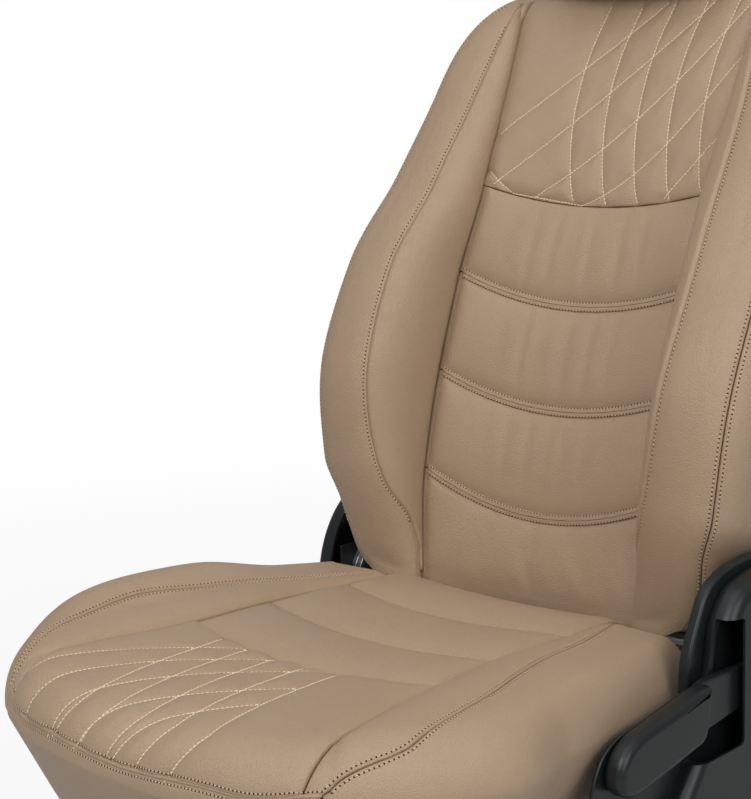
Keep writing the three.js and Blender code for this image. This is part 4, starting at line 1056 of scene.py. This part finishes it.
def recline_lever():
    stem = [[16, 34], [-10, 42], [-150, 47], [-170, 40], [-160, 0], [-80, 8], [-10, 4], [14, 10]]
    head = [[-150, 46], [-165, 45], [-213, 38], [-260, 32], [-280, 22], [-289, 4], [-284, -12], [-266, -19],
            [-220, -12], [-160, -2]]
    grip = [[-256, -44], [-172, -44], [-168, 6], [-190, 13], [-240, 6], [-252, -8]]
    arm = plate("recline_lever_moulding", rounded(stem, 7), 270, 279, 2.5)
    boolean(arm, "UNION", (head, 10, 270, 290, 7.5, 8))
    boolean(arm, "DIFFERENCE", (grip, 9, 266, 284.5, 4))
    dress(crease(arm), "release_lever", "black_plastic", "recline_lever")


def side_shield():
    tower = [[0, 131], [-51, 131], [-87, 128], [-108, 121], [-122, 110], [-131, 94], [-142, 72], [-148, 58]]
    foot = [[-100, -156], [55, -156], [66, -60], [64, 40], [46, 100]]
    front = [[-100, 116], [-124, 88], [-130, 50], [-146, 10], [-176, -30], [-216, -76], [-240, -116]]
    rear = [[-100, -150], [50, -150], [60, -50], [56, 60]]
    body = np.array([[-4, 124], [-60, 124], *front, [-224, -142], *rear])
    arm_top = [[-120, 40], [-165, 40], [-213, 33], [-262, 28], [-284, 18], [-298, -4], [-303, -50]]
    arm_foot = [[-298, -110], [-270, -146], [-120, -152]]
    middle = np.array([-70, -10])
    hollow = middle + (body - middle) * [0.9, 0.92]
    well = [[-46, -34], [46, -34], [46, 76], [-46, 76]]
    slot = [[-190, -22], [-100, -22], [-100, 92], [-190, 92]]
    shell = plate("side_shield_moulding", rounded([*tower, [-152, 0], [-150, -140], *foot], 12), 250, 261, 3)
    boolean(shell, "UNION", (body, 16, 257, 287, 12, 8), (arm_top + arm_foot, 10, 265.5, 269, 1.2, 3))
    boolean(shell, "DIFFERENCE", (hollow, 14, 262.4, 284.6, 7), (well, 14, 249, 270, 2),
            (slot, 6, 269.4, 292, 0.5, 1))
    dress(crease(shell), "carriage", "black_plastic", "side_shield")


def hinge_cover():
    a = circle(96)

    def ring(shrink, x):
        y, z = (54 - shrink) * np.cos(a), (78 - shrink) * np.sin(a)
        return np.stack([np.full(a.size, x), -5 + y + 0.2 * z, 38 + z], -1) + [0, *DATUM[1:]]

    t = np.linspace(0, math.pi / 2, 10)
    wall = [ring(11 * (1 - math.cos(k)), -270 + 11 * (1 - math.sin(k))) for k in t]
    steps = (14, -0.3), (17, -0.5), (18, 0.9), (20, 1.2), (34, -0.4), (50, -1.4)
    face = [ring(s, -270.0 + d) for s, d in steps]
    inside = [ring(s, x) for s, x in ((50, -268), (14, -266), (5, -262), (3, -249))]
    obj = ring_solid("hinge_cap_moulding", np.array(inside + [ring(0, -249)] + wall + face))
    dress(crease(obj, 40), "carriage", "black_plastic", "hinge_cap")


# ---------- materials ----------
def srgb(*rgb):
    c = np.array(rgb) / 255
    return (*np.where(c <= 0.04045, c / 12.92, ((c + 0.055) / 1.055) ** 2.4).tolist(), 1.0)


def add_node(tree, kind, inputs=None, **options):
    node = tree.nodes.new("ShaderNode" + kind)
    for key, value in options.items():
        setattr(node, key, value)
    set_inputs(node, inputs or {})
    return node


def set_inputs(node, values):
    for key, value in values.items():
        node.inputs[key].default_value = value


def surface(name, color, rough, metal=0.0, specular=0.5, grain=None, mottle=(60, 0.04), sheen=0.0):
    """A procedural finish. grain: kind, size and height in mm; mottle: size in mm, share of the colour."""
    mat = bpy.data.materials.new(name)
    mat.use_nodes = True
    tree = mat.node_tree
    link, bsdf = tree.links.new, tree.nodes["Principled BSDF"]
    place = add_node(tree, "TexCoord").outputs["Object"]
    set_inputs(bsdf, {"Roughness": rough, "Metallic": metal, "Sheen Weight": sheen})
    set_inputs(bsdf, {"Specular IOR Level": specular})
    cloud = add_node(tree, "TexNoise", dict(Scale=1000 / mottle[0]))
    link(place, cloud.inputs["Vector"])
    dark, light = ([min(c * (1 + way * mottle[1]), 1) for c in color[:3]] + [1] for way in (-1, 1))
    mix = add_node(tree, "Mix", dict(A=dark, B=light), data_type="RGBA")
    link(cloud.outputs["Fac"], mix.inputs["Factor"])
    link(mix.outputs["Result"], bsdf.inputs["Base Color"])
    if grain:
        kind, pitch, height = grain
        pebbled = kind == "pebble"
        tex = add_node(tree, "TexVoronoi" if pebbled else "TexNoise", dict(Scale=1000 / pitch))
        link(place, tex.inputs["Vector"])
        bump = add_node(tree, "Bump", dict(Distance=height * MM), invert=pebbled)
        link(tex.outputs["Distance" if pebbled else "Fac"], bump.inputs["Height"])
        link(bump.outputs["Normal"], bsdf.inputs["Normal"])
    return mat


THREAD = dict(rough=0.8, specular=0.2, grain=("fine", 0.5, 0.1))
THREAD_CREAM = surface("thread_cream", srgb(244, 224, 194), **THREAD)
THREAD_TAN = surface("thread_tan", srgb(214, 188, 158), **THREAD)
# painted shade: this dark brown stands in for the shadow inside each needle hole
HOLE_SHADE = surface("needle_hole", srgb(66, 50, 38), 0.95, specular=0.05, mottle=(5, 0.1))
FINISH = dict(
    leatherette=surface(
        "leatherette", srgb(176, 150, 123), 0.44, 0.0, 0.5, ("pebble", 1.3, 0.42), (70, 0.06), 0.05,
    ),
    foam=surface("moulded_foam", srgb(216, 206, 176), 0.95, 0.0, 0.1, ("pebble", 1.6, 0.5), (25, 0.08)),
    black_plastic=surface("black_plastic", srgb(25, 31, 32), 0.33, 0, 0.45, ("fine", 0.9, 0.05), (40, 0.08)),
    steel_black=surface(
        "black_coated_steel", srgb(48, 50, 52), 0.42, 0.4, 0.5, ("fine", 1.4, 0.05), (30, 0.12),
    ),
    zinc=surface("zinc_plate", srgb(178, 182, 186), 0.36, 0.95, 0.5, ("fine", 6, 0.03), (9, 0.1)),
    chrome=surface("chrome", srgb(214, 216, 219), 0.1, 1.0, mottle=(200, 0.02)),
)


# ---------- assembly ----------
def body_of(node):
    return next(b for b, members in frame["record"]["behaviour"]["bodies"].items() if node in members)


def carry_over():
    """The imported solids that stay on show: edges softened, and each one given its finish."""
    for name, obj in frame["nodes"].items():
        if obj.hide_render:
            continue
        kind = slot_of(name)
        obj.data.materials.clear()
        obj.data.materials.append(FINISH[kind])
        weld = obj.modifiers.new("weld", "WELD")
        weld.merge_threshold = 0.02 * MM
        bevel = obj.modifiers.new("edges", "BEVEL")
        bevel.width, bevel.segments = 0.5 * MM, 2
        bevel.limit_method, bevel.angle_limit = "ANGLE", math.radians(40)


def slot_of(name):
    for kind, words in SLOT_WORDS.items():
        if any(w in name for w in words):
            return kind
    return "steel_black"


SLOT_WORDS = dict(
    chrome=["headrest_post"],
    black_plastic=["headrest_guide", "lock_button"],
    zinc=["slide_rail", "floor_bolt", "return_spring", "recliner_moving", "recliner_fixed", "cross_rod"],
)


def covers():
    panels = make_panels()
    swell(panels)
    for panel in panels:
        panel.surface()
        dress(closed_sheet(panel.name + "_cover", panel), body_of(panel.name), "leatherette", panel.name)
    sew_back([p for p in panels if p.face is back])
    sew_seat([p for p in panels if p.face is seat])


covers()
for make in (rear_panel, pocket, headrest, recline_lever, side_shield, hinge_cover):
    make()
foam("backrest_foam", "backrest", 7)
foam("cushion_foam", "carriage", 7)
foam("headrest_foam", "headrest", 5)
carry_over()


# ---------- floor, light and camera ----------
def floor():
    a = circle(96)
    rim = np.stack([9000 * np.cos(a), 9000 * np.sin(a), np.full(a.size, -0.5)], -1)
    obj = make_mesh("studio_floor", rim, [list(range(len(a)))])
    paper = surface("studio_paper", (0.6, 0.6, 0.6, 1), 0.9, specular=0.05, mottle=(900, 0.01))
    fade_out(paper.node_tree)
    obj.data.materials.append(paper)


def fade_out(tree):
    """The floor brightens into the backdrop away from the object."""
    link = tree.links.new
    length = add_node(tree, "VectorMath", operation="LENGTH")
    link(tree.nodes["Texture Coordinate"].outputs["Object"], length.inputs[0])
    limits = {"From Min": 0.9, "From Max": 2.6, "To Min": 0.9}
    ramp = add_node(tree, "MapRange", limits, interpolation_type="SMOOTHSTEP")
    link(length.outputs["Value"], ramp.inputs["Value"])
    seen = add_node(tree, "Math", operation="MULTIPLY")
    link(ramp.outputs["Result"], seen.inputs[0])
    link(add_node(tree, "LightPath").outputs["Is Camera Ray"], seen.inputs[1])
    mix = add_node(tree, "MixShader")
    sources = seen, tree.nodes["Principled BSDF"], add_node(tree, "Emission")
    for source, target in zip(sources, mix.inputs):
        link(source.outputs[0], target)
    link(mix.outputs[0], tree.nodes["Material Output"].inputs["Surface"])


def softbox(name, at, aim, size, power):
    light = bpy.data.lights.new(name, "AREA")
    light.shape, light.size, light.size_y, light.energy = "RECTANGLE", *size, power
    obj = bpy.data.objects.new(name, light)
    bpy.context.scene.collection.objects.link(obj)
    obj.location = at
    obj.rotation_euler = (Vector(aim) - Vector(at)).to_track_quat("-Z", "Y").to_euler()


def backdrop(low, high):
    """A dome that is brighter overhead; the camera sees it white."""
    world = bpy.data.worlds.new("studio")
    bpy.context.scene.world = world
    world.use_nodes = True
    tree = world.node_tree
    link, background = tree.links.new, tree.nodes["Background"]
    set_inputs(background, dict(Color=(1, 1, 1, 1)))
    split = add_node(tree, "SeparateXYZ")
    link(add_node(tree, "TexCoord").outputs["Generated"], split.inputs[0])
    dome = add_node(tree, "MapRange", {"To Min": low, "To Max": high})
    link(split.outputs["Z"], dome.inputs["Value"])
    seen = add_node(tree, "MapRange")
    link(dome.outputs["Result"], seen.inputs["To Min"])
    link(add_node(tree, "LightPath").outputs["Is Camera Ray"], seen.inputs["Value"])
    link(seen.outputs["Result"], background.inputs["Strength"])


def camera():
    az, el, roll = map(math.radians, (42.817, 10.348, -1.6))
    rear = Vector((math.sin(az) * math.cos(el), -math.cos(az) * math.cos(el), math.sin(el)))
    right = (-rear).cross(Vector((0, 0, 1))).normalized()
    up = right.cross(-rear)
    right, up = math.cos(roll) * right + math.sin(roll) * up, math.cos(roll) * up - math.sin(roll) * right
    data = bpy.data.cameras.new("camera")
    data.lens, data.sensor_width, data.clip_start = 82.0, 36.0, 0.05
    obj = bpy.data.objects.new("camera", data)
    bpy.context.scene.collection.objects.link(obj)
    obj.matrix_world = Matrix((right, up, rear)).transposed().to_4x4()
    obj.location = (1.0751, -1.2443, 0.8231)
    bpy.context.scene.camera = obj


floor()
backdrop(0.2, 0.42)
softbox("softbox_top", (0.1, -0.8, 2.6), (0, -0.05, 0.4), (2.4, 2.0), 14)
softbox("softbox_front", (0.5, -2.2, 2.2), (0, 0, 0.6), (2.0, 1.2), 26)
softbox("softbox_right", (2.4, -0.7, 1.7), (0, 0, 0.5), (1.6, 1.8), 22)
softbox("softbox_rear", (-0.6, 2.6, 1.8), (0, 0.1, 0.6), (2.0, 1.6), 10)
camera()
bpy.context.scene.view_settings.view_transform = "Standard"
